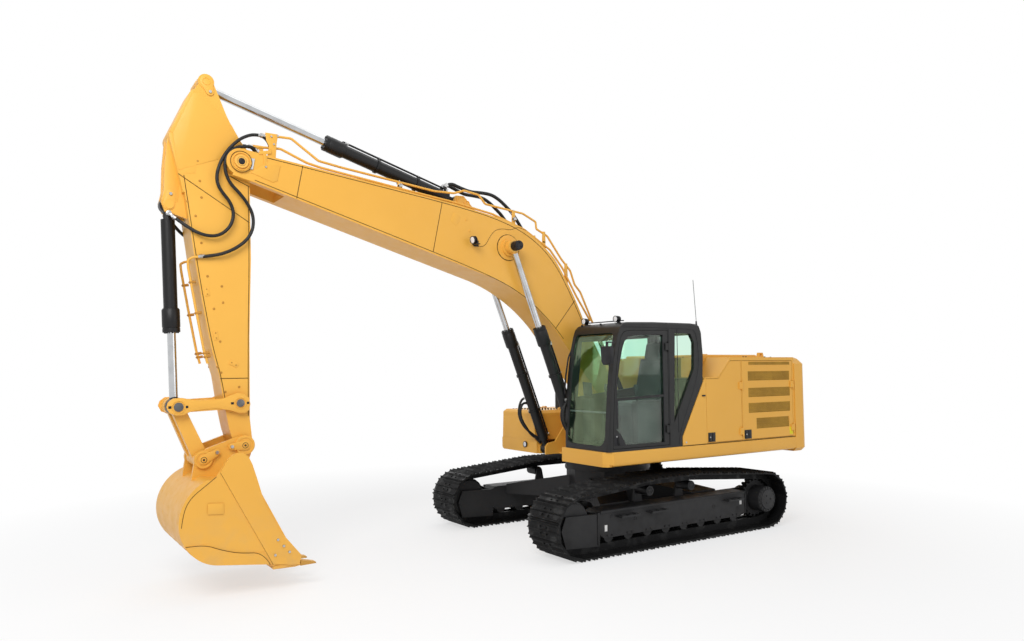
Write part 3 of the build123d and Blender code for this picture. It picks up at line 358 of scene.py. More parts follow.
track_steel = earthy_steel("track_steel", (0.008, 0.008, 0.0085), (0.021, 0.021, 0.021), (0.020, 0.018, 0.015),
                           0.04)
tooth_steel = earthy_steel("tooth_steel", (0.55, 0.30, 0.07), (0.66, 0.40, 0.12), (0.40, 0.26, 0.12), 0.02)
pin_steel = earthy_steel("pin_steel", (0.12, 0.12, 0.124), (0.20, 0.20, 0.205), (0.08, 0.075, 0.07), 0.02)
print("earthy steels", track_steel.name, tooth_steel.name, pin_steel.name)

# %% [markdown]
# A piston rod is hard chrome on ground steel: bright, smooth, with rings of very fine turning
# marks and a thin film of oil. The marks are a very fine noise, its coordinates scaled 900 times
# along all three axes, in a faint bump.


# %% Chrome, iron, rubber and plastics
def bright_rod(name, eye, reach, cover):
    """Hard chrome with a painted eye: everything within reach of the eye's axis is covered."""
    made = Finish(name)
    hairlines = made.clouds(1.0, 3, 0.5, made.stretched((900, 900, 900)))
    film = made.between(made.clouds(6, 4), 0.35, 0.7)
    chrome = made.mix(film, (0.56, 0.57, 0.58), (0.46, 0.47, 0.48))
    eye_share = made.inside(eye[0], eye[1], reach)
    made.colour(made.mix(eye_share, chrome, cover))
    sheen = made.between(made.clouds(14, 3), 0.3, 0.7, 0.12, 0.2)
    made.rough(made.math("ADD", sheen, made.math("MULTIPLY", eye_share, 0.3)))
    made.links.new(made.math("SUBTRACT", 1.0, eye_share), made.shader.inputs["Metallic"])
    made.bump(hairlines, 0.02, 0.0002)
    return made.material


def grained(name, colour, second, rough, grain_scale, grain_depth, metal=0.0):
    made = Finish(name)
    grain = made.clouds(grain_scale, 3)
    made.colour(made.mix(made.between(made.clouds(6, 5), 0.35, 0.65), colour, second))
    made.rough(made.between(made.clouds(22, 4), 0.3, 0.7, rough - 0.06, rough + 0.08))
    made.set(Metallic=metal, Specular_IOR_Level=0.3)
    made.bump(grain, 0.3, grain_depth)
    return made.material


boom_chrome = bright_rod("boom_chrome", (0.3935, 4.101), 0.105, worn_amber)
stick_chrome = bright_rod("stick_chrome", (4.4215, 5.695), 0.115, worn_amber)
bucket_chrome = bright_rod("bucket_chrome", (4.6635, 2.027), 0.105, (0.020, 0.020, 0.021))
engine_iron = grained("engine_iron", (0.20, 0.18, 0.15), (0.13, 0.12, 0.11), 0.6, 90, 0.001, 0.4)
hose_rubber = grained("hose_rubber", (0.008, 0.008, 0.008), (0.013, 0.013, 0.013), 0.5, 400, 0.0006)
lamp_black = grained("lamp_black", (0.008, 0.008, 0.009), (0.013, 0.013, 0.014), 0.45, 400, 0.0005)
console_plastic = grained("console_plastic", (0.030, 0.030, 0.032), (0.038, 0.038, 0.040), 0.55, 600, 0.0006)
fitting_steel = grained("fitting_steel", (0.55, 0.55, 0.54), (0.42, 0.42, 0.42), 0.3, 300, 0.0003, 1.0)
step_grip = grained("step_grip", (0.02, 0.02, 0.021), (0.035, 0.034, 0.032), 0.8, 700, 0.002)
print("steels", boom_chrome.name, engine_iron.name, fitting_steel.name)

# %% [markdown]
# Seat cloth is a tight weave. Two wave bands crossed at a few millimetres give its threads, and
# a soft sheen on the shader gives the pale edge that woven cloth has against the light.


# %% Seat cloth
def woven(name, colour, second):
    made = Finish(name)
    bands = []
    for direction in ("X", "Y"):
        wave = made.nodes.new("ShaderNodeTexWave")
        wave.bands_direction = direction
        wave.inputs["Scale"].default_value = 95
        wave.inputs["Distortion"].default_value = 0.6
        made.links.new(made.place, wave.inputs["Vector"])
        bands.append(wave.outputs["Fac"])
    weave = made.math("MULTIPLY", bands[0], bands[1])
    made.colour(made.mix(weave, colour, second))
    made.set(Roughness=0.9, Sheen_Weight=0.3)
    made.bump(weave, 0.12, 0.0006)
    return made.material


seat_cloth = woven("seat_cloth", (0.056, 0.058, 0.062), (0.068, 0.070, 0.075))
print("cloth", seat_cloth.name)

# %% [markdown]
# Cab glass is 8 mm thick and slightly green. A glossy layer over a see-through one looks right
# from every side and stays cheap to render: the grazing angle decides how much of the studio it
# mirrors, and the see-through part carries the tint.


# %% Tinted glass and lamp lens
def tinted(name, tint, film_low, film_high, mirrored, low_film=0.0):
    """See-through tint under a thin mirror; low_film is added below the cross bar of the door."""
    material = bpy.data.materials.new(name)
    nodes, links = plain_nodes(material)
    out = nodes.new("ShaderNodeOutputMaterial")
    clear = nodes.new("ShaderNodeBsdfTransparent")
    clear.inputs["Color"].default_value = tint
    mirror = nodes.new("ShaderNodeBsdfGlossy")
    mirror.inputs["Color"].default_value = mirrored
    mirror.inputs["Roughness"].default_value = 0.02
    facing = nodes.new("ShaderNodeLayerWeight")
    facing.inputs["Blend"].default_value = 0.5
    grazing = math_node(nodes, links, "POWER", facing.outputs["Facing"], 5.0)
    wash = nodes.new("ShaderNodeTexNoise")
    wash.inputs["Scale"].default_value = 3.0
    place = nodes.new("ShaderNodeTexCoord").outputs["Object"]
    links.new(place, wash.inputs["Vector"])
    film = range_node(nodes, links, wash.outputs["Fac"], 0.35, 0.7, film_low, film_high)
    share = math_node(nodes, links, "ADD", grazing, film.outputs[0])
    if low_film:
        parts = nodes.new("ShaderNodeSeparateXYZ")
        links.new(place, parts.inputs[0])
        lower = range_node(nodes, links, parts.outputs["Z"], 1.98, 1.97, 0.0, low_film)
        share = math_node(nodes, links, "ADD", share, lower.outputs[0])
    look = shader_mix(nodes, links, share, clear.outputs[0], mirror.outputs[0])
    links.new(look, out.inputs["Surface"])
    return material


cab_window = tinted("cab_window", (0.80, 0.94, 0.88, 1), 0.05, 0.09, (0.92, 1.0, 0.66, 1))
door_window = tinted("door_window", (0.80, 0.94, 0.88, 1), 0.012, 0.035, (1.0, 0.97, 0.92, 1), 0.035)
lamp_lens = grained("lamp_lens", (0.75, 0.77, 0.79), (0.85, 0.86, 0.88), 0.12, 60, 0.002)
print("glass", cab_window.name)

# %% [markdown]
# Each node of the imported model takes one finish. A table of finish against node names is easy to
# check by eye, and the names of nodes that are missing from it are printed.

# %% Finish for each node
finish_of = {
    amber_paint: ["revolving_frame", "counterweight", "lifting_lugs", "engine_housing", "left_front_door",
                  "left_rear_door", "pump_door", "hood_lid", "fuel_tank", "storage_box", "storage_lid", "boom",
                  "stick", "idler_links", "power_link", "bucket"],
    black_paint: ["carbody", "swing_bearing", "track_frame_left", "track_frame_right", "idler_left",
                  "idler_right", "sprocket_left", "sprocket_right", "filler_box"],
    track_steel: ["track_left", "track_right"],
    cab_paint: ["cab_shell", "cab_door"],
    cab_window: ["cab_glass"],
    door_window: ["door_glass"],
    seat_cloth: ["operator_seat"],
    console_plastic: ["cab_controls"],
    cylinder_paint: ["boom_cylinder_tubes", "stick_cylinder_tube", "bucket_cylinder_tube"],
    boom_chrome: ["boom_cylinder_rods"],
    stick_chrome: ["stick_cylinder_rod"],
    bucket_chrome: ["bucket_cylinder_rod"],
    pin_steel: ["boom_foot_pin"],
    capped_amber: ["stick_pin"],
    tooth_steel: ["bucket_teeth"],
    lamp_black: ["work_lamps"],
    engine_iron: ["engine_block"],
}
dressed = set()
for finish, names in finish_of.items():
    for name in names:
        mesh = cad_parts[name].data
        mesh.materials.clear()
        mesh.materials.append(finish)
        dressed.add(name)
missing = set(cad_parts) - dressed
print("nodes without a finish:", sorted(missing))

# %% [markdown]
# Rolled and welded steel has no knife edges. A Weld modifier joins the loose triangles of each
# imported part, and a small Bevel then rounds the corners, so that every edge catches a thin line
# of light. Glass and track shoes are left as they are.

# %% Soft edges on the steel
edge_width = {"boom": 0.010, "stick": 0.009, "bucket": 0.008, "counterweight": 0.012, "engine_housing": 0.008,
              "revolving_frame": 0.007, "cab_shell": 0.010, "cab_door": 0.007}
left_sharp = {"cab_glass", "door_glass", "track_left", "track_right"}
for name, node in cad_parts.items():
    if name in left_sharp:
        continue
    weld = node.modifiers.new("join_triangles", "WELD")
    weld.merge_threshold = 0.00005
    bevel = node.modifiers.new("soft_edges", "BEVEL")
    bevel.width = edge_width.get(name, 0.004)
    bevel.segments = 2
    bevel.limit_method = "ANGLE"
    bevel.angle_limit = math.radians(32)
    bevel.harden_normals = False
    for face in node.data.polygons:
        face.use_smooth = True
    flat_kept = node.modifiers.new("flat_faces", "WEIGHTED_NORMAL")
    flat_kept.keep_sharp = True
print("edges softened on", len(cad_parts) - len(left_sharp), "nodes")

# %% [markdown]
# The rest of the script is fittings. Their places are quoted in millimetres from the swing axis,
# as a fitter would read them off the machine, and one helper turns them into the frame's metres.
# A piece starts as an empty bmesh, takes one or more shapes, and is closed by a helper that merges
# doubled corners, points its faces outwards, smooths its shallow edges and hangs it on a body.

# %% Places and pieces
swing_axis = -1.6215
left = Vector((0, 1, 0))
# Pins of the arm: x and z of each axis across the machine
boom_foot, boom_rod_pin, nose_pin, stick_rod_pin = (165, 1950), (2015, 4101), (5671, 4800), (6043, 5695)
bucket_tube_pin, idler_pin, rod_link_pin = (6393, 4267), (5632, 2051), (6285, 2027)
bucket_pin, power_link_pin = (5580, 1576), (6023, 1444)
# Distance of the house's side wall and of a track's middle from the machine's middle plane
house_side, track_middle = 1469, 1295


def at(x, y, z):
    return Vector((x / 1000 + swing_axis, y / 1000, z / 1000))


def close_piece(name, form, finish, body, smooth=38):
    bmesh.ops.remove_doubles(form, verts=form.verts, dist=0.00002)
    bmesh.ops.recalc_face_normals(form, faces=form.faces)
    mesh = bpy.data.meshes.new(name)
    form.to_mesh(mesh)
    form.free()
    mesh.materials.append(finish)
    for face in mesh.polygons:
        face.use_smooth = True
    mesh.set_sharp_from_angle(angle=math.radians(smooth))
    piece = new_object(name, mesh)
    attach(piece, body)
    return piece


print("places count from the swing axis at", swing_axis)

# %% [markdown]
# Nearly every fitting is one of four shapes: a profile turned round a line, a flat plate with
# softened edges, a bolt head, or a ring of them. Plates on the side walls are the commonest, so
# they have short calls of their own.


# %% Turned shapes, plates and bolts
def spun(form, start, end, profile, steps=24):
    """Turns rows of (metres along, radius) round the line from start to end."""
    along = (end - start).normalized()
    out = along.orthogonal().normalized()
    ring = [form.verts.new(start + along * far + out * radius) for far, radius in profile]
    edges = [form.edges.new(pair) for pair in zip(ring, ring[1:])]
    bmesh.ops.spin(form, geom=ring + edges, cent=start, axis=along, angle=2 * math.pi, steps=steps,
                   use_merge=True)


def panel_of(form, corners, depth, edge=0.0, segments=2):
    """A face through the corners, pushed out by depth, with its outer rim rounded."""
    base = form.faces.new([form.verts.new(place) for place in corners])
    grown = bmesh.ops.extrude_face_region(form, geom=[base])["geom"]
    moved = [part for part in grown if isinstance(part, bmesh.types.BMVert)]
    bmesh.ops.translate(form, verts=moved, vec=depth)
    if edge:
        top = [part for part in grown if isinstance(part, bmesh.types.BMFace)]
        rim = {line for face in top for line in face.edges}
        bmesh.ops.bevel(form, geom=list(rim), offset=edge, offset_type="OFFSET", segments=segments, profile=0.5,
                        affect="EDGES", material=-1, clamp_overlap=True)


def side_plate(form, across, corners, thickness, edge=0.0):
    """A plate on a side wall: corners are rows of x and z, across is the wall's distance."""
    panel_of(form, [at(x, across, z) for x, z in corners], Vector((0, thickness, 0)), edge)


def square_plate(form, across, ends, heights, thickness, edge=0.0):
    """A four-cornered plate on a side wall from its two ends and its two heights."""
    (x0, x1), (z0, z1) = ends, heights
    side_plate(form, across, ((x0, z0), (x1, z0), (x1, z1), (x0, z1)), thickness, edge)


def hex_head(form, place, outward, radius, height):
    """Bolt head: a six-sided cone frustum that stands on a surface."""
    turn = outward.to_track_quat("Z", "Y").to_matrix().to_4x4()
    seat = Matrix.Translation(place + outward.normalized() * (height / 2 - 0.001)) @ turn
    bmesh.ops.create_cone(form, cap_ends=True, segments=6, radius1=radius, radius2=radius * 0.88,
                          depth=height + 0.002, matrix=seat)


def bolt_circle(form, axis, y, outward, reach, turns, radius, height):
    """Bolt heads round an axis across the machine; turns are in degrees."""
    for turn in turns:
        over, up = reach * math.cos(math.radians(turn)), reach * math.sin(math.radians(turn))
        hex_head(form, at(axis[0] + over, y, axis[1] + up), Vector((0, outward, 0)), radius, height)


print("shapes ready")

# %% [markdown]
# Tubes, rails and bars are curves with a round bevel. The control points round each corner are
# doubled a little way before and after it, which gives a short bend between straight runs.


# %% Tubes and bars
def line_piece(name, places, radius, finish, body, bend=0.0):
    """Steel tube or bar along its corners; bend is the length of tube used up each side of one."""
    if bend:
        eased = [places[0]]
        for before, corner, after in zip(places, places[1:], places[2:]):
            for onward in (before - corner, corner - corner, after - corner):
                eased.append(corner + onward.normalized() * min(bend, onward.length * 0.45))
        places = eased + [places[-1]]
    curve = bpy.data.curves.new(name, "CURVE")
    curve.dimensions = "3D"
    curve.bevel_depth = radius
    curve.bevel_resolution = 4
    curve.resolution_u = 10
    curve.use_fill_caps = True
    spline = curve.splines.new("NURBS")
    spline.points.add(len(places) - 1)
    for point, place in zip(spline.points, places):
        point.co = (*place, 1)
    spline.order_u = 3
    spline.use_endpoint_u = True
    piece = new_object(name, curve)
    curve.materials.append(finish)
    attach(piece, body)
    return piece


print("fitting kit ready")

# %% [markdown]
# A few more finishes are needed for fittings: louvre gauze darkened with painted shade, bare bright
# bolts, matt black covers, grey trim and a few small bright plates.

# %% Finishes for fittings
def slotted(name, colour, slot_shade_colour, spacing):
    """Pressed louvre gauze: level slots repeated up the panel every few millimetres, in painted shade."""
    made = Finish(name)
    rows = made.nodes.new("ShaderNodeTexWave")
    rows.bands_direction = "Z"
    rows.inputs["Scale"].default_value = 1 / (spacing * math.pi)
    rows.inputs["Distortion"].default_value = 0.0
    made.links.new(made.place, rows.inputs["Vector"])
    slot = made.between(rows.outputs["Fac"], 0.55, 0.75)
    made.colour(made.mix(slot, made.mix(made.between(made.clouds(5, 3), 0.3, 0.7), colour, slot_shade_colour),
                         slot_shade_colour))
    made.rough(made.between(made.clouds(30, 3), 0.3, 0.7, 0.6, 0.75))
    made.set(Specular_IOR_Level=0.15)
    made.bump(slot, 0.5, 0.003)
    return made.material


# The gauze is the body amber darkened with painted shade of its recess; the slot colour is painted shade of the
# openings.
louvre_gauze = slotted("louvre_gauze", (0.47, 0.265, 0.040), (0.33, 0.180, 0.028), 0.020)
cover_black = grained("cover_black", (0.006, 0.006, 0.008), (0.010, 0.010, 0.012), 0.42, 500, 0.0004)
stud_amber = grained("stud_amber", (0.50, 0.23, 0.035), (0.44, 0.20, 0.030), 0.5, 300, 0.0004)
# Dark brown for plate joints and a lamp wire, and painted shade in grooves and gaps.
seam_and_shade_dark = grained("seam_and_shade_dark", (0.075, 0.038, 0.009), (0.055, 0.028, 0.007), 0.75, 300, 0.0004)
plate_silver = grained("plate_silver", (0.62, 0.63, 0.64), (0.52, 0.53, 0.54), 0.32, 200, 0.0003, 0.8)
plate_white = grained("plate_white", (0.78, 0.78, 0.76), (0.70, 0.70, 0.68), 0.5, 200, 0.0002)
plate_bright = grained("plate_bright", (0.80, 0.72, 0.02), (0.75, 0.66, 0.02), 0.45, 200, 0.0002)
trim_grey = grained("trim_grey", (0.16, 0.18, 0.17), (0.20, 0.22, 0.21), 0.5, 350, 0.0004)
mirror_face = grained("mirror_face", (0.5, 0.52, 0.53), (0.46, 0.48, 0.49), 0.08, 20, 0.0001, 1.0)
print("fitting finishes ready")

# %% [markdown]
# The boom carries its oil in hard pipes that follow its back, held off by brackets. A pipe is a
# curve through a few given points with a round bevel; at order 3 the bends come out rounded, as
# a pipe bender leaves them. Each pipe keeps its own distance across the boom.

# %% Hard pipes on the boom
# Columns: x, z along the boom's back
back_route = [(419, 3102), (646, 3549), (754, 3659), (836, 3865), (1001, 4027), (1255, 4348), (1449, 4434),
              (1460, 4537), (1684, 4635), (1904, 4659), (2320, 4704), (2424, 4819), (2659, 4853), (2819, 4797),
              (3120, 4790), (4430, 4932), (4740, 4955), (5080, 5178), (5414, 5170)]
low_route = [(500, 3120), (760, 3480), (1010, 3880), (1240, 4140), (1700, 4400), (2230, 4565), (2830, 4660),
             (3643, 4752), (4700, 4880), (4880, 4915), (5200, 5038), (5500, 5018)]


def nose_spread(x, across, nose_across):
    """Distance from the middle plane: wider near the nose, where the stick's head swings between."""
    return nose_across if x > 4500 else across


line_piece("boom_pipe_near", [at(x, nose_spread(x, 190, 252), z) for x, z in back_route], 0.015, amber_paint,
           "boom_body", bend=0.045)
line_piece("boom_pipe_low", [at(x, 235, z) for x, z in low_route], 0.015, amber_paint, "boom_body", bend=0.045)
for across, nose_across in ((150, 242), (210, 280)):
    line_piece(f"boom_pipe_far_{across}", [at(x, -nose_spread(x, across, nose_across), z + 8) for x,
                                           z in low_route],
               0.015, amber_paint, "boom_body", bend=0.045)
print("pipes on the boom: 4")

# %% [markdown]
# Five pairs of folded brackets stand on the boom's back and carry the pipes. The first three also
# hold a bright clamp round each left-hand pipe, closed by one bolt.

# %% Pipe brackets and clamps
form = bmesh.new()
# Columns: x and z of the foot on the boom's back, height of the top
bracket_rows = [(5320, 4905, 5170), (3640, 4715, 4838), (1860, 4400, 4640), (1330, 4085, 4390),
                (930, 3600, 3950)]
for x, foot, top in bracket_rows:
    for across in (nose_spread(x, 204, 266), -nose_spread(x, 192, 262)):
        panel_of(form, [at(x - 34, across, foot - 6), at(x + 34, across, foot - 6),
                        at(x + 26, across, (foot + top) / 2 + 24), at(x - 26, across, (foot + top) / 2 + 24)],
                 Vector((0, 0.012, 0)), 0.003)
    across = nose_spread(x, 204, 266)
    panel_of(form, [at(x - 30, across, (foot + top) / 2), at(x + 30, across, (foot + top) / 2),
                    at(x + 24, across, top + 14), at(x - 24, across, top + 14)], Vector((0, 0.012, 0)), 0.003)
close_piece("boom_pipe_brackets", form, amber_paint, "boom_body")
form = bmesh.new()
for x, foot, top in bracket_rows[:3]:
    for y, z in ((nose_spread(x, 190, 252), top - 4), (235, (foot + top) / 2 + 10)):
        spun(form, at(x - 22, y, z), at(x + 22, y, z), [(0, 0.016), (0, 0.025), (0.044, 0.025), (0.044, 0.016)],
             14)
        hex_head(form, at(x, y + 18, z + 18), Vector((0, 0.5, 0.8)), 0.011, 0.012)
close_piece("boom_pipe_clamps", form, fitting_steel, "boom_body")
print("brackets", len(bracket_rows))

# %% [markdown]
# A welded box shows where its plates meet. The joints are thin dark lines on the paint, so each is
# a hair-thin tube half sunk in the surface; both sides of the boom get the same set.

# %% Plate joints on boom and stick
def joint_lines(name, runs, half, body, radius=0.0042, finish=None, both=True):
    """One curve for all plate joints of a box, on its left side and, with both, on its right side."""
    curve = bpy.data.curves.new(name, "CURVE")
    curve.dimensions = "3D"
    curve.bevel_depth = radius
    curve.bevel_resolution = 1
    curve.resolution_u = 8
    for across in (half, -half) if both else (half,):
        for run in runs:
            spline = curve.splines.new("NURBS")
            spline.points.add(len(run) - 1)
            for point, (x, z) in zip(spline.points, run):
                point.co = (*at(x, across, z), 1)
            spline.order_u = 3 if len(run) > 2 else 2
            spline.use_endpoint_u = True
    curve.materials.append(finish or seam_and_shade_dark)
    piece = new_object(name, curve)
    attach(piece, body)
    return piece


boom_top_line = [(705, 3090), (888, 3450), (1225, 3982), (1662, 4312), (2196, 4490), (2824, 4594), (3646, 4694),
                 (5372, 4889)]
boom_under_line = [(5513, 4609), (4180, 4232), (2292, 3696), (1692, 3416), (1216, 3022), (1060, 2840)]
joint_lines("boom_plate_joints",
            [[(4951, 4852), (5022, 4452)], [(3062, 4620), (3196, 3951)], [(845, 3404), (1204, 2982)],
             boom_top_line, boom_under_line], 300.6, "boom_body")
joint_lines("stick_plate_joints",
            [[(6320, 4600), (5542, 4128)], [(5774, 4644), (5547, 4546)], [(5530, 2330), (5842, 2330)],
             [(5560, 4560), (5536, 3705), (5542, 2806), (5526, 1900)],
             [(6262, 4592), (6114, 3662), (6016, 3126), (5915, 2635), (5832, 2364), (5782, 2080)]],
            200.6, "stick_body")
print("joints on boom and stick drawn")

# %% [markdown]
# Every pin sits in a cast boss with turned rings round it. Rings are made by spinning a short
# profile round the pin's axis; the thin dark ones are painted shade in the turned grooves. The boom
# cylinders' heads are closed by black caps with three bolts.

# %% Boss rings, caps and retainer bolts
def ring(form, x, z, y, outward, radius, width, rise):
    spun(form, at(x, y, z), at(x, y + outward, z),
         [(-0.001, radius - width / 2), (rise, radius - width / 4), (rise, radius + width / 4),
          (-0.001, radius + width / 2)], 32)


def cap(form, x, z, y, outward, radius, rise, edge=0.006):
    """Round cap that stands on a surface, with a softened rim."""
    spun(form, at(x, y, z), at(x, y + outward, z),
         [(0, radius), (rise - edge, radius), (rise - edge * 0.3, radius - edge * 0.3), (rise, radius - edge),
          (rise, 0.0001)], 28)


# Thin dark rings in the seam colour: painted shade in the turned grooves of the bosses.
form = bmesh.new()
for outward in (1, -1):
    ring(form, *boom_rod_pin, outward * 302, outward, 0.181, 0.010, 0.004)
    ring(form, *nose_pin, outward * 320, outward, 0.120, 0.008, 0.003)
    ring(form, *boom_foot, outward * 301, outward, 0.120, 0.010, 0.004)
close_piece("boom_boss_groove_shade", form, seam_and_shade_dark, "boom_body")
form = bmesh.new()
for outward in (1, -1):
    ring(form, *nose_pin, outward * 318, outward, 0.098, 0.014, 0.010)
    for x, z in ((2675, 4718), (2560, 4700)):
        ring(form, x, z, outward * 104, outward, 0.036 if x < 2600 else 0.048, 0.012, 0.006)
close_piece("boom_boss_rings", form, amber_paint, "boom_body")
form = bmesh.new()
for outward in (1, -1):
    cap(form, *nose_pin, outward * 339, outward, 0.034, 0.006)
    ring(form, *nose_pin, outward * 339, outward, 0.052, 0.004, 0.001)
close_piece("stick_pin_plugs", form, cover_black, "boom_body")
form = bmesh.new()
for outward in (1, -1):
    cap(form, *boom_rod_pin, outward * 462, outward, 0.066, 0.128, 0.012)
    bolt_circle(form, boom_rod_pin, outward * 590, outward, 36, (90, 210, 330), 0.012, 0.010)
close_piece("boom_cylinder_caps", form, cover_black, "boom_rods_body")
print("caps and rings done")

# %% [markdown]
# The boom's work lamp stands out from the left side plate on a folded bracket. Its body is a turned
# black can; its pale lens is a second piece with a slight dome, so that it catches the sky.

# %% Lamp on the boom and its wire
def lamp_pieces(name, place, aim, radius, body):
    """Turned can with four cooling fins and a domed lens; profile rows are shares of the radius."""
    def turned(form, back, rows):
        spun(form, place - aim.normalized() * radius * back, place,
             [(radius * far, max(radius * share, 0.0001)) for far, share in rows], 24)

    form = bmesh.new()
    turned(form, 1.1, ((0, 0), (0, 0.55), (0.35, 0.85), (0.8, 1), (1.15, 1), (1.15, 0.88), (1, 0.84), (1, 0)))
    for fin in range(4):
        turned(form, 0.95 - 0.16 * fin, ((0, 0.5), (0, 0.98), (0.06, 0.98), (0.06, 0.5)))
    close_piece(f"{name}_can", form, cover_black, body)
    form = bmesh.new()
    turned(form, 0.12, ((0, 0.86), (0.08, 0.84), (0.16, 0.6), (0.19, 0)))
    close_piece(f"{name}_lens", form, lamp_lens, body)


lamp_pieces("boom_lamp", at(2655, 400, 4141), Vector((1, 0.12, -0.2)), 0.052, "boom_body")
form = bmesh.new()
square_plate(form, 300, (2500, 2580), (4075, 4160), 0.008, 0.002)
panel_of(form, [at(2530, 306, 4085), at(2550, 306, 4085), at(2615, 395, 4095), at(2595, 402, 4095)],
         Vector((0, 0, 0.010)), 0.002)
square_plate(form, 350, (2560, 2630), (4085, 4097), 0.1, 0.002)
for x, z in ((2515, 4092), (2565, 4092), (2515, 4144), (2565, 4144)):
    hex_head(form, at(x, 308, z), left, 0.008, 0.007)
close_piece("boom_lamp_bracket", form, cover_black, "boom_body")
line_piece("boom_lamp_wire_clipped", [at(x, 303, z) for x, z in
           ((2590, 4110), (2520, 4078), (2440, 4080), (2376, 4120), (2310, 4240), (2230, 4330), (2110, 4362),
            (1960, 4352), (1880, 4400), (1800, 4400), (1700, 4372))], 0.0024, seam_and_shade_dark, "boom_body")
print("lamp on the boom ready")

# %% [markdown]
# The boom's sides carry welded pads, small round plugs and a thin plate. At the nose a folded
# bracket holds the pipe ends, and a bright steel plate is bolted beside it.

# %% Plates on the boom sides
form = bmesh.new()
for outward in (1, -1):
    side_plate(form, outward * 299, ((5340, 4861), (5220, 4817), (5255, 4630), (5307, 4609), (5560, 4690)),
               outward * 0.009, 0.004)
    side_plate(form, outward * 299.4, ((2890, 4513), (2772, 4455), (2841, 4327), (2929, 4388)), outward * 0.0022,
               0.001)
    for x, z in ((2690, 4430), (2640, 4280), (1560, 4300)):
        cap(form, x, z, outward * 299, outward, 0.016, 0.006, 0.002)
close_piece("boom_side_pads", form, amber_paint, "boom_body")
form = bmesh.new()
side_plate(form, 309, ((5519, 4856), (5565, 4856), (5582, 4728), (5539, 4726)), 0.005, 0.0015)
close_piece("boom_bare_plate", form, plate_silver, "boom_body")
form = bmesh.new()
side_plate(form, 300, ((5470, 4952), (5330, 4985), (5330, 4945), (5385, 4930), (5372, 4780), (5408, 4780),
                       (5424, 4925), (5470, 4915)), 0.010, 0.003)
for across in (284, -294):
    side_plate(form, across, ((5270, 4900), (5368, 4910), (5352, 5040), (5385, 5100), (5395, 5190), (5245, 5190),
                              (5262, 5080)), 0.010, 0.003)
close_piece("nose_tee_bracket", form, amber_paint, "boom_body")
form = bmesh.new()
for x, z in ((5391, 4778), (5328, 5151), (5253, 5170), (5297, 5064)):
    hex_head(form, at(x, 309 if z < 4900 else 293, z), left, 0.014, 0.012)
close_piece("boom_nose_bolts", form, fitting_steel, "boom_body")
print("boom plates done")

# %% [markdown]
# Hoses bridge every joint of the arm. A hose is drawn as one NURBS line through given points. The
# line is read back twice, bare and with a round bevel; the second is the rubber.

# %% Hydraulic hoses
def hose(name, places, radius):
    """Hose along control points: a NURBS line with a round bevel of the given radius."""
    guide = bpy.data.curves.new(f"{name}_line", "CURVE")
    guide.dimensions = "3D"
    guide.resolution_u = 12
    spline = guide.splines.new("NURBS")
    spline.points.add(len(places) - 1)
    for point, place in zip(spline.points, places):
        point.co = (*place, 1)
    spline.order_u = 3
    spline.use_endpoint_u = True
    holder = new_object(f"{name}_line", guide)
    bpy.context.view_layer.update()
    drawn = bpy.data.meshes.new_from_object(holder.evaluated_get(bpy.context.evaluated_depsgraph_get()))
    guide.bevel_depth = radius
    guide.bevel_resolution = 4
    guide.use_fill_caps = True
    bpy.context.view_layer.update()
    rubber = bpy.data.meshes.new_from_object(holder.evaluated_get(bpy.context.evaluated_depsgraph_get()))
    rubber.name = name
    rubber.materials.clear()
    rubber.materials.append(hose_rubber)
    for face in rubber.polygons:
        face.use_smooth = True
    bpy.data.objects.remove(holder)
    piece = new_object(name, rubber)
    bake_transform(piece)
    return piece


def union(form, place, onward, radius, length=0.07):
    """Bright hose end: a hexagon nut between two turned collars, along a direction."""
    along = onward.normalized()
    spun(form, place - along * length / 2, place,
         [(0, 0.0001), (0, radius * 1.12), (length * 0.35, radius * 1.12), (length * 0.35, radius * 1.02),
          (length, radius * 1.02), (length, 0.0001)], 16)
    turned = along.to_track_quat("Z", "Y").to_matrix().to_4x4()
    bmesh.ops.create_cone(form, cap_ends=True, segments=6, radius1=radius * 1.45, radius2=radius * 1.45,
                          depth=length * 0.32, matrix=Matrix.Translation(place) @ turned)


print("hose calls ready")

# %% [markdown]
# Two long hoses on each side swing round the boom's nose and down the stick.

# %% Elbow hoses
# Columns: x, distance from the middle plane, z
long_hose = [(5450, 240, 4948), (5520, 250, 5010), (5632, 262, 4995), (5725, 262, 4969), (5795, 262, 4906),
             (5842, 262, 4796), (5833, 262, 4665), (5776, 262, 4541), (5675, 262, 4450), (5574, 262, 4328),
             (5514, 262, 4201), (5513, 262, 4053), (5569, 262, 3929), (5668, 262, 3833), (5793, 262, 3757),
             (5917, 250, 3712), (6060, 226, 3690)]
short_hose = [(5300, 250, 4928), (5320, 254, 5050), (5400, 262, 5150), (5504, 262, 5155), (5584, 262, 5132),
              (5683, 262, 5072), (5795, 262, 4950), (5877, 262, 4806), (5924, 262, 4653), (5922, 262, 4537),
              (5872, 262, 4441), (5787, 262, 4349), (5736, 262, 4237), (5742, 262, 4119), (5797, 262, 4011),
              (5893, 262, 3937), (6002, 262, 3921), (6110, 250, 3947), (6218, 210, 4015), (6298, 150, 4085),
              (6360, 120, 4140)]
for side_name, outward in (("left", 1), ("right", -1)):
    for hose_name, route in (("long", long_hose), ("short", short_hose)):
        hose(f"elbow_hose_{hose_name}_{side_name}", [at(x, outward * y, z) for x, y, z in route], 0.019)
print("elbow hoses 4")

# %% [markdown]
# The stick's head is a casting with rounded ears, a cover plate on its front and bolted pin keepers.
# A keeper is a long washer: two round ends joined by a bar, with one bolt that stops the pin from
# turning. One helper makes them here and for the bucket's hubs.

# %% Stick head and pin keepers
def side_bolts(name, places, radius, height, body):
    """Bright bolt heads on both sides; columns of places: x, distance from the middle plane, z."""
    form = bmesh.new()
    for outward in (1, -1):
        for x, y, z in places:
            hex_head(form, at(x, outward * y, z), Vector((0, outward, 0)), radius, height)
    close_piece(name, form, fitting_steel, body)


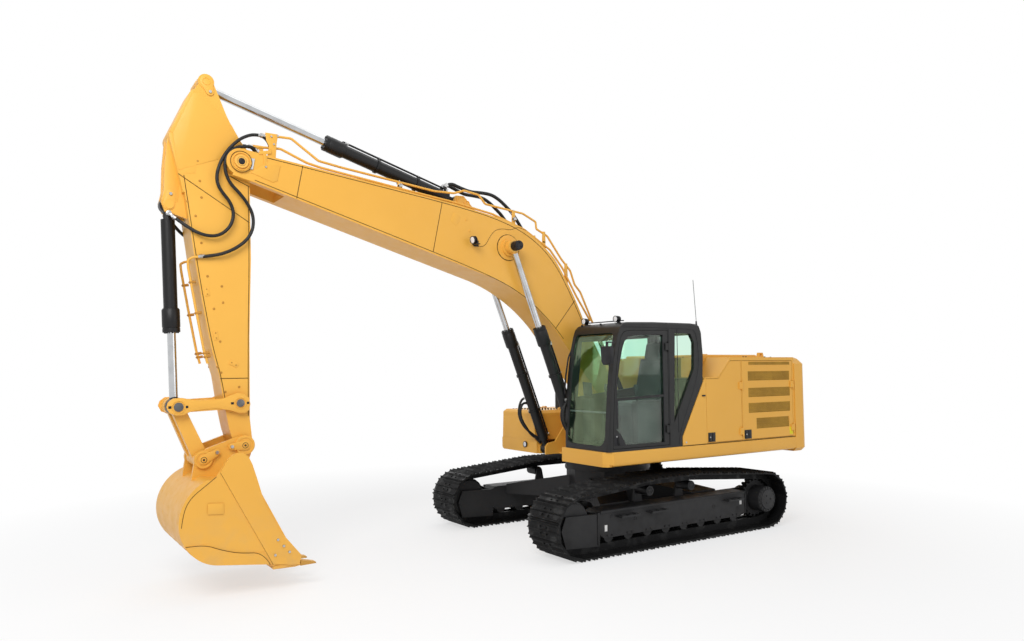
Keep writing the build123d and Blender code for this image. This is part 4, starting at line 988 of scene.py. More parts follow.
def keeper(form, pin, bolt, y, outward, pin_round, bolt_round, rise):
    """Long washer from a pin to its bolt, standing on the face at y."""
    angle = math.atan2(bolt[1] - pin[1], bolt[0] - pin[0])
    rim = []
    for centre, radius, first in ((pin, pin_round, 90), (bolt, bolt_round, -90)):
        for step in range(0, 181, 20):
            turn = angle + math.radians(first + step)
            rim.append(at(centre[0] + radius * math.cos(turn), y, centre[1] + radius * math.sin(turn)))
    panel_of(form, rim, Vector((0, outward * rise / 1000, 0)), 0.003)


form = bmesh.new()
for outward in (1, -1):
    spun(form, at(stick_rod_pin[0], outward * 66, stick_rod_pin[1]),
         at(stick_rod_pin[0], outward * 210, stick_rod_pin[1]),
         [(0, 0.056), (0, 0.087), (0.138, 0.088), (0.142, 0.084), (0.142, 0.0001)], 32)
    keeper(form, stick_rod_pin, (6000, 5581), outward * 206, outward, 70, 42, 9)
    ring(form, *stick_rod_pin, outward * 214, outward, 0.040, 0.012, 0.006)
    keeper(form, bucket_tube_pin, (6379, 4384), outward * 103, outward, 64, 46, 9)
    ring(form, *bucket_tube_pin, outward * 111, outward, 0.036, 0.012, 0.006)
    side_plate(form, outward * 199, ((6384, 5050), (6185, 5535), (6101, 5560), (5754, 5237), (5610, 4990),
                                     (5640, 4930), (6320, 4640)), outward * 0.006, 0.005)
for wedge in (((6150, 5605), (6206, 5560), (6418, 5062), (6340, 5030), (6120, 5560)),
              ((6418, 5062), (6424, 5020), (6264, 4400), (6200, 4400), (6340, 5030))):
    panel_of(form, [at(x, -198.6, z) for x, z in wedge], Vector((0, 0.3972, 0)), 0.005)
for across in (61, -107):
    side_plate(form, across, ((6422, 5030), (6446, 4700), (6448, 4420), (6472, 4300), (6300, 4300), (6280, 4640),
                              (6340, 4900)), 0.046, 0.004)
close_piece("stick_head_castings", form, amber_paint, "stick_body")
side_bolts("stick_keeper_bolts", ((6000, 215, 5581), (6379, 112, 4384)), 0.020, 0.016, "stick_body")
print("stick head done")

# %% [markdown]
# The stick's sides carry three slanting weld pads and a scatter of small round studs, where
# clamps and steps can be bolted on.

# %% Pads and studs on the stick
# Columns: x, z, tilt in degrees
slant_pads = ((5998, 3302, 80), (5895, 2812, 80), (5696, 2494, 30))
form = bmesh.new()
for outward in (1, -1):
    for x, z, tilt in slant_pads:
        along = Vector((math.cos(math.radians(tilt)), 0, math.sin(math.radians(tilt)))) * 0.048
        over = Vector((-along.z, 0, along.x)) * 0.52
        middle = at(x, outward * 199, z)
        panel_of(form, [middle - along - over, middle + along - over, middle + along + over,
                        middle - along + over],
                 Vector((0, outward * 0.009, 0)), 0.003)
    side_plate(form, outward * 199.6, ((6276, 4729), (6135, 4756), (6140, 4625), (6274, 4607)), outward * 0.0018,
               0.0008)
close_piece("stick_side_pads", form, amber_paint, "stick_body")
form = bmesh.new()
for outward in (1, -1):
    for x, z in ((6119, 4768), (6094, 4547), (6220, 4301), (6072, 4361), (6131, 4146), (6066, 3847), (5780, 4784),
                 (5994, 3476), (5838, 3370), (5822, 3186), (5920, 3113), (5848, 2746), (5871, 2461), (5832, 2395),
                 (5633, 2231), (5783, 2178)):
        cap(form, x, z, outward * 199.6, outward, 0.014, 0.006, 0.003)
    for x, z, tilt in slant_pads:
        for far in (-28, 28):
            cap(form, x + far * math.cos(math.radians(tilt)), z + far * math.sin(math.radians(tilt)),
                outward * 207.6, outward, 0.008, 0.004, 0.002)
close_piece("stick_side_studs", form, stud_amber, "stick_body")
print("stick pads", len(slant_pads), "on each side")

# %% [markdown]
# The stick pipe takes the bucket cylinder's oil down the front. It ends in bright hose unions.

# %% Stick pipes and unions
for outward in (1, -1):
    line_piece(f"stick_pipe_{'left' if outward > 0 else 'right'}",
               [at(x, outward * y, z) for x, y, z in
                ((6075, 226, 3690), (6158, 224, 3676), (6206, 205, 3645), (6198, 193, 3560), (6116, 193, 3126),
                 (6018, 193, 2640), (5978, 193, 2500))],
               0.014, amber_paint, "stick_body", bend=0.04)
form = bmesh.new()
# Columns: x and z on the front face at the clamp
for x, z in ((6168, 3400), (6103, 3060), (6013, 2615), (6000, 2575)):
    for outward in (1, -1):
        spun(form, at(x - 52, outward * 193, z + 8), at(x + 18, outward * 193, z - 4),
             [(0, 0.0001), (0, 0.016), (0.068, 0.0168), (0.071, 0.012), (0.071, 0.0001)], 14)
        hex_head(form, at(x + 17, outward * 193, z - 4), Vector((1, 0, -0.18)), 0.008, 0.008)
close_piece("stick_pipe_clamps", form, stud_amber, "stick_body")
form = bmesh.new()
for outward in (1, -1):
    union(form, at(6070, outward * 225, 3692), Vector((0.98, 0, -0.18)), 0.019)
    union(form, at(6350, outward * 124, 4132), Vector((0.6, -outward * 0.35, 0.6)), 0.020, 0.08)
    cap(form, 6393, 4168, outward * 92, outward, 0.030, 0.028, 0.006)
close_piece("stick_hose_unions", form, fitting_steel, "stick_body")
form = bmesh.new()
for outward in (1, -1):
    union(form, at(5470, outward * 243, 4966), Vector((0.75, 0.1 * outward, 0.6)), 0.019, 0.08)
    union(form, at(5302, outward * 250, 4958), Vector((0.1, 0, 1)), 0.019, 0.08)
    union(form, at(5432, outward * 262, 5155), Vector((1, 0, -0.02)), 0.020, 0.08)
close_piece("nose_hose_unions", form, fitting_steel, "boom_body")
print("stick pipes 2")

# %% [markdown]
# The bucket linkage hangs on four hardened pins. The upper two show a dark ground face with a
# keeper slot on either side, ringed by the link's cast boss. Each slot is a thin black plate of
# painted shade.

# %% Linkage pins
# Columns: axis, distance of the face, pin radius in metres, body
pin_rows = [(idler_pin, 268, 0.044, "stick_body"), (rod_link_pin, 265, 0.050, "idler_links_body")]
for number, (axis, face, radius, body) in enumerate(pin_rows):
    form = bmesh.new()
    for outward in (1, -1):
        cap(form, *axis, outward * face, outward, radius, 0.010, 0.003)
    close_piece(f"link_pin_face_{number}", form, pin_steel, body)
# The rim of an idler link as cast: x and z
link_rim = ((6408, 2028), (6392, 2080), (6340, 2122), (6250, 2126), (6120, 2098), (5960, 2092), (5835, 2101),
            (5740, 2140), (5660, 2166), (5590, 2150), (5540, 2110), (5520, 2040), (5530, 1975), (5570, 1942),
            (5640, 1938), (5740, 1972), (5888, 2000), (6040, 1992), (6155, 1975), (6230, 1942), (6300, 1936),
            (6372, 1962))
form = bmesh.new()
for outward in (1, -1):
    side_plate(form, outward * 252, link_rim, outward * 0.012, 0.004)
    for axis, inner in ((idler_pin, 0.050), (rod_link_pin, 0.056)):
        ring(form, *axis, outward * 264, outward, inner + 0.012, 0.014, 0.006)
close_piece("idler_link_castings", form, amber_paint, "idler_links_body")
# Thin black plates: painted shade in the keeper slots of the pins.
form = bmesh.new()
for outward in (1, -1):
    for x, z in (idler_pin, rod_link_pin):
        for near, far in ((72, 104), (-98, -72)):
            square_plate(form, outward * 264, (x + near, x + far), (z - 13, z + 13), outward * 0.003, 0.001)
close_piece("idler_link_slot_shade", form, cover_black, "idler_links_body")
print("linkage pins", len(pin_rows))

# %% [markdown]
# The bucket's two pins end in wide cast hubs. Each hub is turned in one profile, with a sunk middle
# for the pin's end, a keeper over it and one large bolt.

# %% Bucket hubs
form = bmesh.new()
for outward in (1, -1):
    for pin, bolt, radius in ((power_link_pin, (5886, 1518), 0.096), (bucket_pin, (5726, 1570), 0.108)):
        spun(form, at(pin[0], outward * 270, pin[1]), at(pin[0], outward * 300, pin[1]),
             [(0, radius * 0.5), (0, radius), (0.018, radius), (0.022, radius * 0.96), (0.022, radius * 0.78),
              (0.016, radius * 0.74), (0.016, 0.0001)], 32)
        keeper(form, pin, bolt, outward * 286, outward, 52, 36, 14)
close_piece("bucket_hubs", form, amber_paint, "bucket_body")
form = bmesh.new()
for outward in (1, -1):
    for axis in (power_link_pin, bucket_pin):
        ring(form, *axis, outward * 300, outward, 0.030, 0.007, 0.002)
        cap(form, *axis, outward * 300, outward, 0.012, 0.003, 0.001)
close_piece("bucket_hub_grease_ends", form, cover_black, "bucket_body")
side_bolts("bucket_hub_bolts", ((5886, 300, 1518), (5726, 300, 1570)), 0.022, 0.014, "bucket_body")
print("bucket hubs done")

# %% [markdown]
# The bucket wears first at its lip. Side cutters are bolted to the blade, corner guards wrap the
# outer teeth, and a tooth is a cast tip pinned over an adapter. The adapters are new pieces behind
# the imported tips, one behind each tooth and a low shroud between two of them.

# %% Bucket cutters and adapters
outer_tooth = 612.5
form = bmesh.new()
for outward in (1, -1):
    face = outward * 671
    side_plate(form, face - outward * 1, ((6058, 1027), (5897, 1017), (5895, 903), (6057, 914)), outward * 0.0015,
               0.0008)
    side_plate(form, outward * 658, ((5075, 262), (5060, 330), (5200, 520), (5330, 640), (5405, 600), (5330, 470),
                                     (5300, 350), (5200, 268)), outward * 0.013, 0.004)
for number in range(5):
    across = outer_tooth * (2 * number / 4 - 1)
    side_plate(form, across - 42, ((5052, 245), (5062, 300), (5110, 322), (5320, 330), (5380, 296), (5330, 240),
                                   (5120, 236)), 0.084, 0.010)
for number in range(4):
    across = outer_tooth * (2 * (number + 0.5) / 4 - 1)
    side_plate(form, across - 88, ((5040, 262), (5046, 296), (5150, 312), (5150, 244), (5060, 248)), 0.176, 0.008)
close_piece("bucket_adapters", form, amber_paint, "bucket_body")
side_bolts("bucket_cutter_bolts", ((5318, 671, 562), (5253, 671, 487), (5189, 671, 415), (5346, 671, 400)),
           0.017, 0.012, "bucket_body")
joint_lines("bucket_plate_joints",
            [[(5934, 1341), (5640, 815), (5363, 301)], [(5972, 1298), (6062, 1225), (6190, 1130), (6262, 1040),
             (6300, 920), (6312, 800)]], 661, "bucket_body", 0.003)
joint_lines("bucket_wear_plate_edge", [[(5398, 306), (5475, 447), (5712, 466), (5910, 526), (6090, 609),
                                        (6268, 602)]],
            669, "bucket_body", 0.003)
print("bucket edge done")

# %% [markdown]
# Five strips of wear plate run round the shell's outside. Each is an arc of short facets about the
# shell's own axis, drawn across to its width and then given its thickness.

# %% Wear strips round the bucket
form = bmesh.new()
for across in (-560, -280, 0, 280, 560):
    strip = []
    for step in range(0, 13):
        turn = math.radians(-80 + step * 11.5)
        strip.append((5868 + 474 * math.cos(turn), 838 + 474 * math.sin(turn)))
    rim = [at(x, across - 38, z) for x, z in strip]
    inner = [form.verts.new(place) for place in rim]
    edges = [form.edges.new(pair) for pair in zip(inner, inner[1:])]
    grown = bmesh.ops.extrude_edge_only(form, edges=edges)["geom"]
    moved = [part for part in grown if isinstance(part, bmesh.types.BMVert)]
    bmesh.ops.translate(form, verts=moved, vec=(0, 0.076, 0))
bmesh.ops.recalc_face_normals(form, faces=form.faces)
bmesh.ops.solidify(form, geom=form.faces[:], thickness=0.009)
close_piece("bucket_wear_strips", form, amber_paint, "bucket_body")
print("wear strips done")

# %% [markdown]
# A cylinder tube is not bare: a thin pipe brings oil to its far end, two bands hold the pipe, and a
# ring of bolts closes the gland. One helper dresses every cylinder from its two pins.

# %% Dressing of the cylinder tubes
def dress_cylinder(name, foot, head, ways, tube, length, body, behind=1, piped=True):
    """Gland collar and bolts, then pipe and bands; behind is the side that the pipe runs along."""
    start = Vector((foot[0], 0, foot[1]))
    run = (Vector((head[0], 0, head[1])) - start).normalized()
    off = Vector((-run.z, 0, run.x)) * behind
    black = bmesh.new()
    bright = bmesh.new()
    for y in ways:
        def spot(far, out, across=0):
            place = start + run * far + off * out
            return at(place.x, y + across, place.z)
        for turn in range(0, 360, 45):
            out, across = (tube + 6) * math.cos(math.radians(turn)), (tube + 6) * math.sin(math.radians(turn))
            hex_head(black, spot(length - 1, out * 0.86, across * 0.86), run, 0.011, 0.012)
        spun(black, spot(length - 262, 0), spot(length - 40, 0),
             [(0, tube / 1000), (0, (tube + 12) / 1000), (0.012, (tube + 20) / 1000), (0.200, (tube + 20) / 1000),
              (0.222, (tube + 10) / 1000), (0.222, tube / 1000)], 28)
        if not piped:
            continue
        for far in (length * 0.32, length * 0.62):
            spun(black, spot(far, 0), spot(far + 30, 0),
                 [(0, tube / 1000), (0, (tube + 14) / 1000), (0.03, (tube + 14) / 1000), (0.03, tube / 1000)], 28)
            hex_head(bright, spot(far + 15, tube + 30, 14), off, 0.009, 0.012)
        spun(bright, spot(length - 300, tube + 30), spot(length - 250, tube + 30),
             [(0, 0.0001), (0, 0.018), (0.05, 0.018), (0.05, 0.0001)], 12)
        spun(bright, spot(190, tube + 8), spot(190, tube + 44),
             [(0, 0.0001), (0, 0.022), (0.036, 0.022), (0.036, 0.0001)], 12)
        side = "left" if y > 0 else "right" if y < 0 else "middle"
        line_piece(f"{name}_pipe_{side}", [spot(length - 225, tube + 2), spot(length - 225, tube + 30),
                                           spot(225, tube + 30), spot(200, tube + 4)], 0.013, cylinder_paint, body,
                   bend=0.03)
    close_piece(f"{name}_gland_and_bands", black, cylinder_paint, body)
    if piped:
        close_piece(f"{name}_bright_fittings", bright, fitting_steel, body)


dress_cylinder("boom_cylinder", (861, 1184), boom_rod_pin, (410, -410), 75, 1940, "boom_tubes_body")
dress_cylinder("stick_cylinder", (2675, 4718), stick_rod_pin, (0,), 82, 1980, "stick_tube_body")
dress_cylinder("bucket_cylinder", bucket_tube_pin, rod_link_pin, (0,), 75, 1420, "bucket_tube_body", -1, False)
print("cylinders dressed")

# %% [markdown]
# Short hoses feed the stick cylinder from the boom pipes, the boom cylinders from the deck, and the
# boom pipes from the valves behind the boom's foot.

# %% Hoses on the boom and at its foot
for outward in (1, -1):
    side_name = "left" if outward > 0 else "right"
    hose(f"stick_cylinder_hose_{side_name}",
         [at(x, outward * y, z) for x, y, z in
          ((2893, 40, 4884), (2850, 48, 4935), (2770, 55, 4958), (2697, 60, 4932), (2600, 70, 4902),
           (2490, 90, 4872),
           (2346, 110, 4876), (2177, 120, 4868), (2049, 125, 4810), (1941, 130, 4729), (1840, 130, 4650),
           (1740, 130, 4530), (1660, 130, 4420), (1600, 130, 4336))],
         0.024)
    for number, (low_y, y, low_x) in enumerate(((470, 512, 935), (490, 556, 880))):
        hose(f"boom_cylinder_hose_{side_name}_{number}",
             [at(x, outward * along, z) for x, along, z in
              ((low_x, low_y, 1262), (low_x + 50, low_y + 8, 1330), (low_x + 150, y, 1400), (1160, y, 1500),
               (1235, y, 1600), (1275, y, 1700), (1275, y, 1800), (1240, y, 1870 + number * 40),
               (1180, y, 1890 + number * 70), (1150 + number * 24, 508 - number * 4, 1880 + number * 80))],
             0.018)
    for number, (y, end_y, end_z) in enumerate(((235, 288, 1690), (190, 200, 1152))):
        hose(f"boom_foot_hose_{side_name}_{number}",
             [at(x, outward * along, z) for x, along, z in
              ((606, y, 3012), (520, y, 3060), (410, y, 3010), (310, y, 2850), (200, y, 2620), (60, y, 2400),
               (-60, y, 2200), (-130, (y + end_y) / 2, 2000), (-140, end_y, 1830),
               (-115, end_y, (1830 + end_z) / 2), (-100, end_y, end_z))],
             0.021)
form = bmesh.new()
for outward in (1, -1):
    union(form, at(2858, outward * 46, 4926), Vector((-0.5, 0, 0.8)), 0.024, 0.06)
    union(form, at(1610, outward * 130, 4352), Vector((0.35, 0, 0.9)), 0.024, 0.06)
close_piece("boom_hose_unions", form, fitting_steel, "boom_body")
form = bmesh.new()
for outward in (1, -1):
    for number in (0, 1):
        place = at(1150 + number * 24, outward * 500, 1880 + number * 80)
        spun(form, place - left * outward * 0.022, place + left * outward * 0.004,
             [(0, 0.0001), (0, 0.022), (0.026, 0.022), (0.026, 0.0001)], 16)
        union(form, place, Vector((0.4, outward, 0)), 0.019, 0.06)
close_piece("boom_cylinder_hose_unions", form, fitting_steel, "boom_tubes_body")
print("hoses at the boom's foot and cylinders 10")

# %% [markdown]
# Two round lamps stand on the cab's front roof edge and one on the storage box. The roof also has
# an aerial on a rubber foot, three bolts and a narrow rain strip.

# %% Roof and box lamps
for across in (558, 1245):
    lamp_pieces(f"roof_lamp_{across}", at(890, across, 3079.8), Vector((1, 0, 0)), 0.046, "house")
lamp_pieces("box_lamp", at(1000, -806, 1226), Vector((1, 0, 0)), 0.046, "house")
line_piece("roof_aerial", [at(-529, 1400, 2985), at(-529, 1400, 3090), at(-480, 1400, 3679)], 0.0045, trim_grey,
           "house", bend=0.05)
form = bmesh.new()
spun(form, at(-529, 1400, 2960), at(-529, 1400, 3060),
     [(0, 0.0001), (0, 0.026), (0.04, 0.026), (0.07, 0.014), (0.12, 0.010), (0.12, 0.0001)], 16)
for across in (590, 1000, 1400):
    cap_place = at(940, across, 3010)
    hex_head(form, cap_place, Vector((0.3, 0, 1)), 0.016, 0.02)
square_plate(form, 545, (780, 800), (3052, 3066), 0.76, 0.003)
close_piece("cab_roof_fittings", form, cover_black, "house")
print("lamps on roof and box 3")

# %% [markdown]
# The mirror at the cab's front corner has a deep black shell on two arms. The windscreen has a long
# wiper and a cross bar, and a grab rail runs up beside it.

# %% Mirror, wiper and rail
mirror_rim = ((1392, 2700), (1580, 2696), (1598, 2660), (1590, 2500), (1560, 2456), (1430, 2450), (1396, 2500),
              (1384, 2660))
glass_rim = ((1404, 2690), (1572, 2686), (1584, 2655), (1576, 2510), (1552, 2470), (1436, 2464), (1408, 2508),
             (1398, 2655))
form = bmesh.new()
panel_of(form, [at(1232, y, z) for y, z in mirror_rim], Vector((0.05, 0, 0)), 0.014, 3)
for x, near, far, z, rise in ((1120, 1462, 1490, 2742, 0.018), (1240, 1472, 1500, 2690, 0.06)):
    panel_of(form, [at(x, near, z), at(x, far, z), at(1262, 1500, z), at(1262, 1472, z)],
             Vector((0, 0, rise)), 0.003)
close_piece("cab_mirror_shell", form, cover_black, "house")
form = bmesh.new()
panel_of(form, [at(1233, y, z) for y, z in glass_rim], Vector((-0.004, 0, 0)), 0.001)
close_piece("cab_mirror_glass", form, mirror_face, "house")
line_piece("windscreen_wiper_arm", [at(x, 610, z) for x, z in ((1244, 1400), (1232, 1600), (1208, 1960))], 0.010,
           cover_black, "house")
line_piece("windscreen_wiper_blade",
           [at(x, 612, z) for x, z in ((1224, 1560), (1199, 1960), (1152, 2380), (1113, 2600))], 0.008,
           cover_black, "house")
line_piece("windscreen_cross_bar", [at(1160, 575, 1815), at(1160, 1380, 1815)], 0.012, trim_grey, "house")
line_piece("cab_front_grab_rail", [at(1150, 504, 2014), at(1205, 500, 2060), at(1180, 500, 2300),
                                   at(1130, 500, 2560),
                                   at(1060, 504, 2690)], 0.012, cover_black, "house", bend=0.05)
print("mirror and wiper done")

# %% [markdown]
# On the cab's left side thin black seams mark the door's edge and the rear pillar. The door has a
# curved pull in a sunk black plate, a lock, and rubber along its window.

# %% Cab seams and door pull
joint_lines("cab_trim_lines",
            [[(-65, 1330), (-65, 1480), (-470, 2260), (-492, 2640), (-440, 2920), (-330, 2965), (940, 2965)],
             [(104, 1330), (104, 2950)], [(-60, 2950), (-60, 1500)]], 1470.4, "house", 0.0045, cover_black, False)
form = bmesh.new()
side_plate(form, house_side, ((1125, 1527), (1090, 1540), (1018, 1537), (985, 1460), (958, 1374), (1128, 1384)),
           0.005, 0.002)
close_piece("cab_door_pull_recess", form, cover_black, "cab_door_body")
line_piece("cab_door_pull", [at(1062, 1472, 1394), at(1060, 1492, 1400), at(1068, 1494, 1440),
                             at(1072, 1492, 1498),
                             at(1074, 1472, 1504)], 0.008, cab_paint, "cab_door_body", bend=0.012)
form = bmesh.new()
cap(form, 1092, 1502, 1473, 1, 0.011, 0.004, 0.001)
close_piece("cab_door_lock", form, fitting_steel, "cab_door_body")
form = bmesh.new()
for x0, x1, z0, z1 in ((200, 224, 1375, 2875), (1060, 1090, 1600, 1980)):
    square_plate(form, house_side, (x0, x1), (z0, z1), 0.003, 0.001)
close_piece("cab_door_window_rubber", form, cover_black, "cab_door_body")
form = bmesh.new()
square_plate(form, house_side, (-540, -600), (1990, 2012), 0.018, 0.004)
close_piece("house_rubber_stop", form, cover_black, "house")
print("cab door dressed")

# %% [markdown]
# Through the glass one sees a monitor on the right pillar, pads on the consoles and seat cushions
# with soft edges. Each cushion is a block with a crowned top, rounded by a live subdivision.

# %% Seat cushions and controls
def cushion(name, middle, size, turn, crown, cover, body):
    """Crowned pad: a block cut into a net whose middle stands higher than its rim."""
    form = bmesh.new()
    bmesh.ops.create_cube(form, size=1.0)
    bmesh.ops.subdivide_edges(form, edges=form.edges[:], cuts=4, use_grid_fill=True)
    for corner in form.verts:
        x, y, z = corner.co * 2
        swell = (1 - abs(x) ** 3) * (1 - abs(y) ** 3)
        corner.co = Vector((x * size[0] * (0.46 + 0.04 * (1 - z * z)), y * size[1] * (0.46 + 0.04 * (1 - z * z)),
                            z * size[2] / 2 + (crown * swell if z > 0 else 0)))
    bmesh.ops.transform(form, matrix=Matrix.Translation(middle) @ Matrix.Rotation(turn, 4, "Y"), verts=form.verts)
    piece = close_piece(name, form, cover, body, 180)
    rounded = piece.modifiers.new("rounded", "SUBSURF")
    rounded.levels = 2
    rounded.render_levels = 2
    return piece


cushion("seat_cushion", at(310, 1000, 1872), (0.50, 0.48, 0.10), 0.0, 0.025, seat_cloth, "house")
cushion("seat_back_cushion", at(8, 1000, 2200), (0.62, 0.46, 0.10), math.radians(-100), 0.03, seat_cloth,
        "house")
cushion("seat_head_rest", at(-66, 1000, 2640), (0.24, 0.30, 0.10), math.radians(-102), 0.02, seat_cloth,
        "house")
form = bmesh.new()
panel_of(form, [at(905, 590, 2020), at(905, 760, 2010), at(925, 765, 2200), at(925, 590, 2215)],
         Vector((0.03, 0, 0)), 0.008)
for across in (690, 1310):
    panel_of(form, [at(170, across - 62, 1917), at(600, across - 62, 1917), at(600, across + 62, 1917),
                    at(170, across + 62, 1917)], Vector((0, 0, 0.035)), 0.012, 3)
    spun(form, at(588, across, 2070), at(600, across, 2170),
         [(0, 0.0001), (0, 0.024), (0.04, 0.030), (0.09, 0.026), (0.11, 0.015), (0.112, 0.0001)], 16)
close_piece("cab_monitor_and_pads", form, console_plastic, "house")
print("seat and controls done")

# %% [markdown]
# The engine doors breathe through bands of pressed gauze, which lie a little deeper than the door's
# face. The left door has five bands and the pump door has one.

# %% Gauze of the engine doors
gauze_depth = 1462
form = bmesh.new()
# Columns: lower edge, upper edge, front end, rear end; the highest band lies on the wall itself
gauze_rows = [(2200, 2340, -1545, -2530), (1950, 2090, -1550, -2535), (1712, 1862, -1548, -2530),
              (1470, 1630, -1720, -2500), (2440, 2484, -1565, -2535)]
for low, high, front, rear in gauze_rows:
    slope = 22 if low == 1470 else 0
    side_plate(form, gauze_depth if high < 2400 else house_side + 0.5,
               ((front, low), (rear, low), (rear + slope, high), (front + slope, high)), 0.005)
close_piece("engine_door_gauze", form, louvre_gauze, "left_rear_door_body")
form = bmesh.new()
square_plate(form, -gauze_depth, (-1545, -2530), (2200, 2340), -0.005)
close_piece("pump_door_gauze", form, louvre_gauze, "pump_door_body")
print("gauze bands", len(gauze_rows) + 1)

# %% [markdown]
# Each door shuts with a sunk latch plate that holds two paddles and a key barrel. A thin dark line
# of painted shade runs in the gap along the doors' lower edge, and a small bright plate is riveted
# behind the rear latch.


# %% Latches and bolts of the house
def latch(name, front, rear, y, outward, body):
    """Sunk black plate with two paddles and a bright key barrel."""
    form = bmesh.new()
    square_plate(form, y, (front, rear), (1330, 1464), outward * 0.006, 0.003)
    middle = (front + rear) / 2
    for near, far in ((front - 10, middle + 6), (middle - 6, rear + 10)):
        square_plate(form, y + outward * 5, (near, far), (1344, 1450), outward * 0.008, 0.004)
    close_piece(f"{name}_latch", form, cover_black, body)
    form = bmesh.new()
    cap(form, front - 34, 1398, y + outward * 13, outward, 0.010, 0.004, 0.001)
    close_piece(f"{name}_latch_key", form, fitting_steel, body)


latch("front_door", -650, -800, house_side, 1, "left_front_door_body")
latch("engine_door", -1440, -1595, house_side, 1, "left_rear_door_body")
latch("pump_door", -1440, -1595, -house_side, -1, "pump_door_body")
form = bmesh.new()
side_plate(form, house_side, ((-2502, 1463), (-2590, 1457), (-2584, 1345), (-2507, 1352)), 0.002, 0.0008)
close_piece("engine_door_bright_plate", form, plate_bright, "left_rear_door_body")
form = bmesh.new()
cap(form, -205, 1352, house_side, 1, 0.014, 0.004, 0.001)
close_piece("house_side_bolt", form, fitting_steel, "house")
# A thin dark tube in the seam colour: painted shade in the gap under the doors.
joint_lines("house_lower_gap_shade", [[(-135, 1306), (-2638, 1306)]], 1472, "house", 0.006)
form = bmesh.new()
for x, y in ((-1560, 1380), (-1620, 1380), (-2060, 1380), (-760, 900), (-760, -900), (-1100, 940), (-1100, -940),
             (-2560, 1100), (-2560, -1100)):
    hex_head(form, at(x, y, 2556), Vector((0, 0, 1)), 0.016, 0.012)
close_piece("hood_bolts", form, cover_black, "house")
print("doors done")

# %% [markdown]
# The storage box is the step up to the deck, so its lid has tread plate studs. A folded plate
# closes the deck's front corner, and the fuel filler has a turned cap.

# %% Tread plates, deck corners and filler
form = bmesh.new()
for row in range(6):
    for column in range(10):
        middle = at(330 + column * 58 + (29 if row % 2 else 0), -690 - row * 120, 1757)
        bmesh.ops.create_cone(form, cap_ends=True, segments=8, radius1=0.016, radius2=0.011, depth=0.008,
                              matrix=Matrix.Translation(middle))
close_piece("storage_lid_tread_studs", form, step_grip, "storage_lid_body")
form = bmesh.new()
panel_of(form, [at(1264, 1374, 1132), at(1153, 1484, 1132), at(1153, 1484, 1300), at(1264, 1374, 1300)],
         Vector((-0.012, -0.012, 0)))
panel_of(form, [at(1260, 1370, 1290), at(1150, 1480, 1290), at(1150, 1370, 1290)], Vector((0, 0, 0.010)))
close_piece("deck_corner_plate", form, amber_paint, "house")
form = bmesh.new()
spun(form, at(155, -810, 2000), at(155, -810, 2060),
     [(0, 0.0001), (0, 0.075), (0.02, 0.075), (0.022, 0.060), (0.050, 0.056), (0.058, 0.048), (0.060, 0.0001)], 24)
close_piece("filler_cap", form, cover_black, "house")
print("deck fittings done")

# %% [markdown]
# Under the machine everything is black and bolted. The shoes carry four bolts each; a small walk
# round the track's centre line finds every shoe from the pitch. The walk is a table of straights
# and half turns, measured once, so the bolts sit where the imported shoes are.

# %% Shoe bolts
# Each straight is its start and end as x and z; a half turn round a wheel is named front or rear
pin_line, wheel_z = 330.5, 418.0
wheel_x, shoe_count = 1790, 47
legs = [((470, 858.5), (wheel_x, 748.5)), "front", ((wheel_x, 87.5), (-wheel_x, 87.5)), "rear",
        ((-wheel_x, 748.5), (-330, 858.5)), ((-330, 858.5), (470, 858.5))]
turn_length = math.pi * pin_line
leg_lengths = [turn_length if isinstance(leg, str) else math.dist(*leg) for leg in legs]
pitch = sum(leg_lengths) / shoe_count


def on_track(far):
    """Place on the chain's centre line and the outward direction there."""
    for leg, length in zip(legs, leg_lengths):
        if far <= length:
            break
        far -= length
    if isinstance(leg, str):
        swing = math.pi / 2 - far / pin_line
        wheel = wheel_x
        if leg == "rear":
            swing, wheel = swing - math.pi, -wheel_x
        out = (math.cos(swing), math.sin(swing))
        return (wheel + pin_line * out[0], wheel_z + pin_line * out[1]), out
    (x0, z0), (x1, z1) = leg
    share = far / length
    return (x0 + (x1 - x0) * share, z0 + (z1 - z0) * share), ((z0 - z1) / length, (x1 - x0) / length)


for side_name, middle in (("left", track_middle), ("right", -track_middle)):
    form = bmesh.new()
    for shoe in range(shoe_count):
        for along in (0.32, 0.68):
            (x, z), out = on_track((shoe + along) * pitch)
            for across in (-62, 62):
                hex_head(form, at(x + out[0] * 61.5, middle + across, z + out[1] * 61.5),
                         Vector((out[0], 0, out[1])), 0.015, 0.012)
    close_piece(f"shoe_bolts_{side_name}", form, track_steel, "undercarriage")
print("shoe bolts", shoe_count * 4 * 2, "pitch", round(pitch, 1), "mm")

# %% [markdown]
# A final drive is a turned cover with a ring of bolts at its rim and three in its middle. The two
# carrier rollers above the frame show a small cap with three bolts.


# %% Final drives and carriers
def final_drive(form, middle, outward):
    hub = (-wheel_x, 418)
    spun(form, at(hub[0], middle + outward * 262, hub[1]), at(hub[0], middle + outward * 300, hub[1]),
         [(0, 0.14), (0.0, 0.186), (0.012, 0.182), (0.012, 0.150), (0.020, 0.145), (0.030, 0.12),
          (0.0304, 0.0001)], 40)
    bolt_circle(form, hub, middle + outward * 274, outward, 166, range(0, 360, 20), 0.012, 0.011)
    bolt_circle(form, hub, middle + outward * 291, outward, 60, (60, 180, 300), 0.014, 0.010)


def carrier_faces(form, middle, outward):
    for axis in ((470, 735), (-330, 735)):
        face = middle + outward * 110
        cap(form, *axis, face, outward, 0.068, 0.022, 0.006)
        ring(form, *axis, face + outward * 22, outward, 0.044, 0.010, 0.006)
        bolt_circle(form, axis, face + outward * 22, outward, 24, (90, 210, 330), 0.009, 0.008)


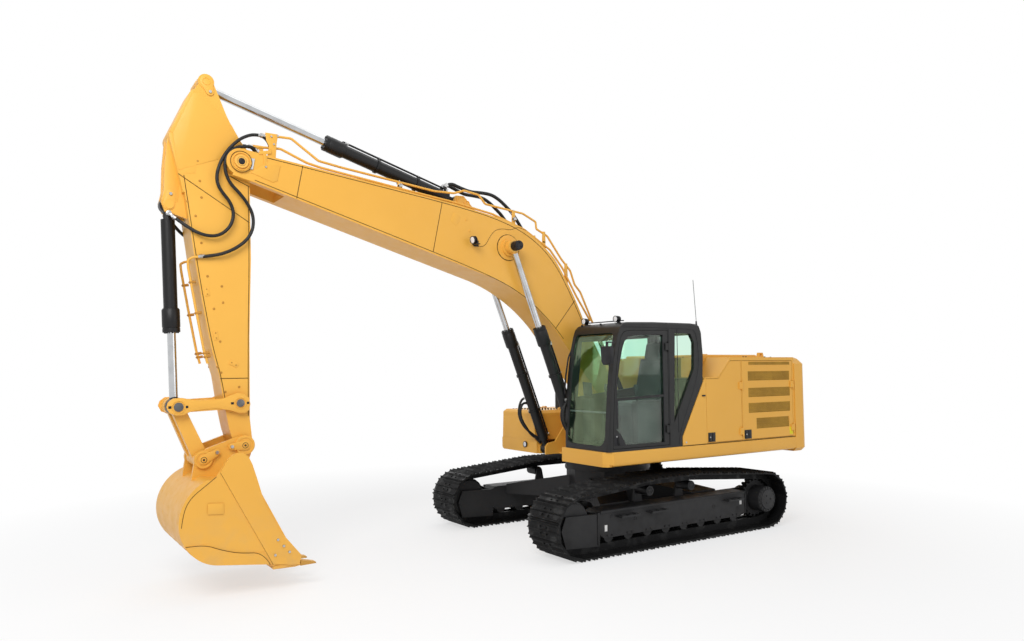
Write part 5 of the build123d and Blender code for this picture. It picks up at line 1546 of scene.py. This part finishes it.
print("drive and carrier calls ready")

# %% [markdown]
# The track frame's outer face shows the roller bolts in pairs, four round bosses, three ribbed
# steps, stiffening bars at the ends and two small bare plates.


# %% Fittings of the track frames
def frame_face_fittings(form, bright, middle, outward):
    face = middle + outward * 146
    for number in range(8):
        roller_x = 2420 * (number / 7 - 0.5)
        for near in (-42, 42):
            hex_head(form, at(roller_x + near, face, 232), Vector((0, outward, 0)), 0.013, 0.012)
    for x, z, radius in ((760, 400, 0.022), (-760, 400, 0.022), (1180, 470, 0.016), (-1280, 330, 0.016)):
        ring(form, x, z, face, outward, radius, 0.012, 0.005)
    inner, outer = middle + outward * 176, middle + outward * 250
    for step_x in (930, 390, -1130):
        for near in (-120, 0, 120):
            x0, x1 = step_x + near - 30, step_x + near + 30
            panel_of(form, [at(x0, inner, 479), at(x1, inner, 479), at(x1, outer, 479), at(x0, outer, 479)],
                     Vector((0, 0, 0.007)), 0.002)
    for ends, heights in (((1400, 1420), (130, 540)), ((1384, 1400), (200, 540)), ((-1450, -1434), (240, 520))):
        square_plate(form, face, ends, heights, outward * 0.012, 0.003)
    side_plate(form, face - outward * 1, ((1370, 556), (-1445, 556), (-1445, 536), (1370, 520)),
               outward * 0.014, 0.004)
    for x, z in ((1275, 330), (-1340, 410)):
        square_plate(bright, face, (x - 22, x + 22), (z - 40, z + 40), outward * 0.002, 0.0008)


form = bmesh.new()
bright = bmesh.new()
for outward in (1, -1):
    middle = outward * track_middle
    final_drive(form, middle, outward)
    carrier_faces(form, middle, outward)
    frame_face_fittings(form, bright, middle, outward)
close_piece("undercarriage_fittings", form, black_paint, "undercarriage")
close_piece("undercarriage_blank_plates", bright, plate_white, "undercarriage")
form = bmesh.new()
for turn in range(0, 360, 9):
    out = Vector((math.cos(math.radians(turn)), math.sin(math.radians(turn)), 0))
    hex_head(form, at(0, 0, 1045) + out * 0.648, out, 0.017, 0.022)
close_piece("swing_bearing_studs", form, track_steel, "undercarriage")
print("undercarriage fittings done")
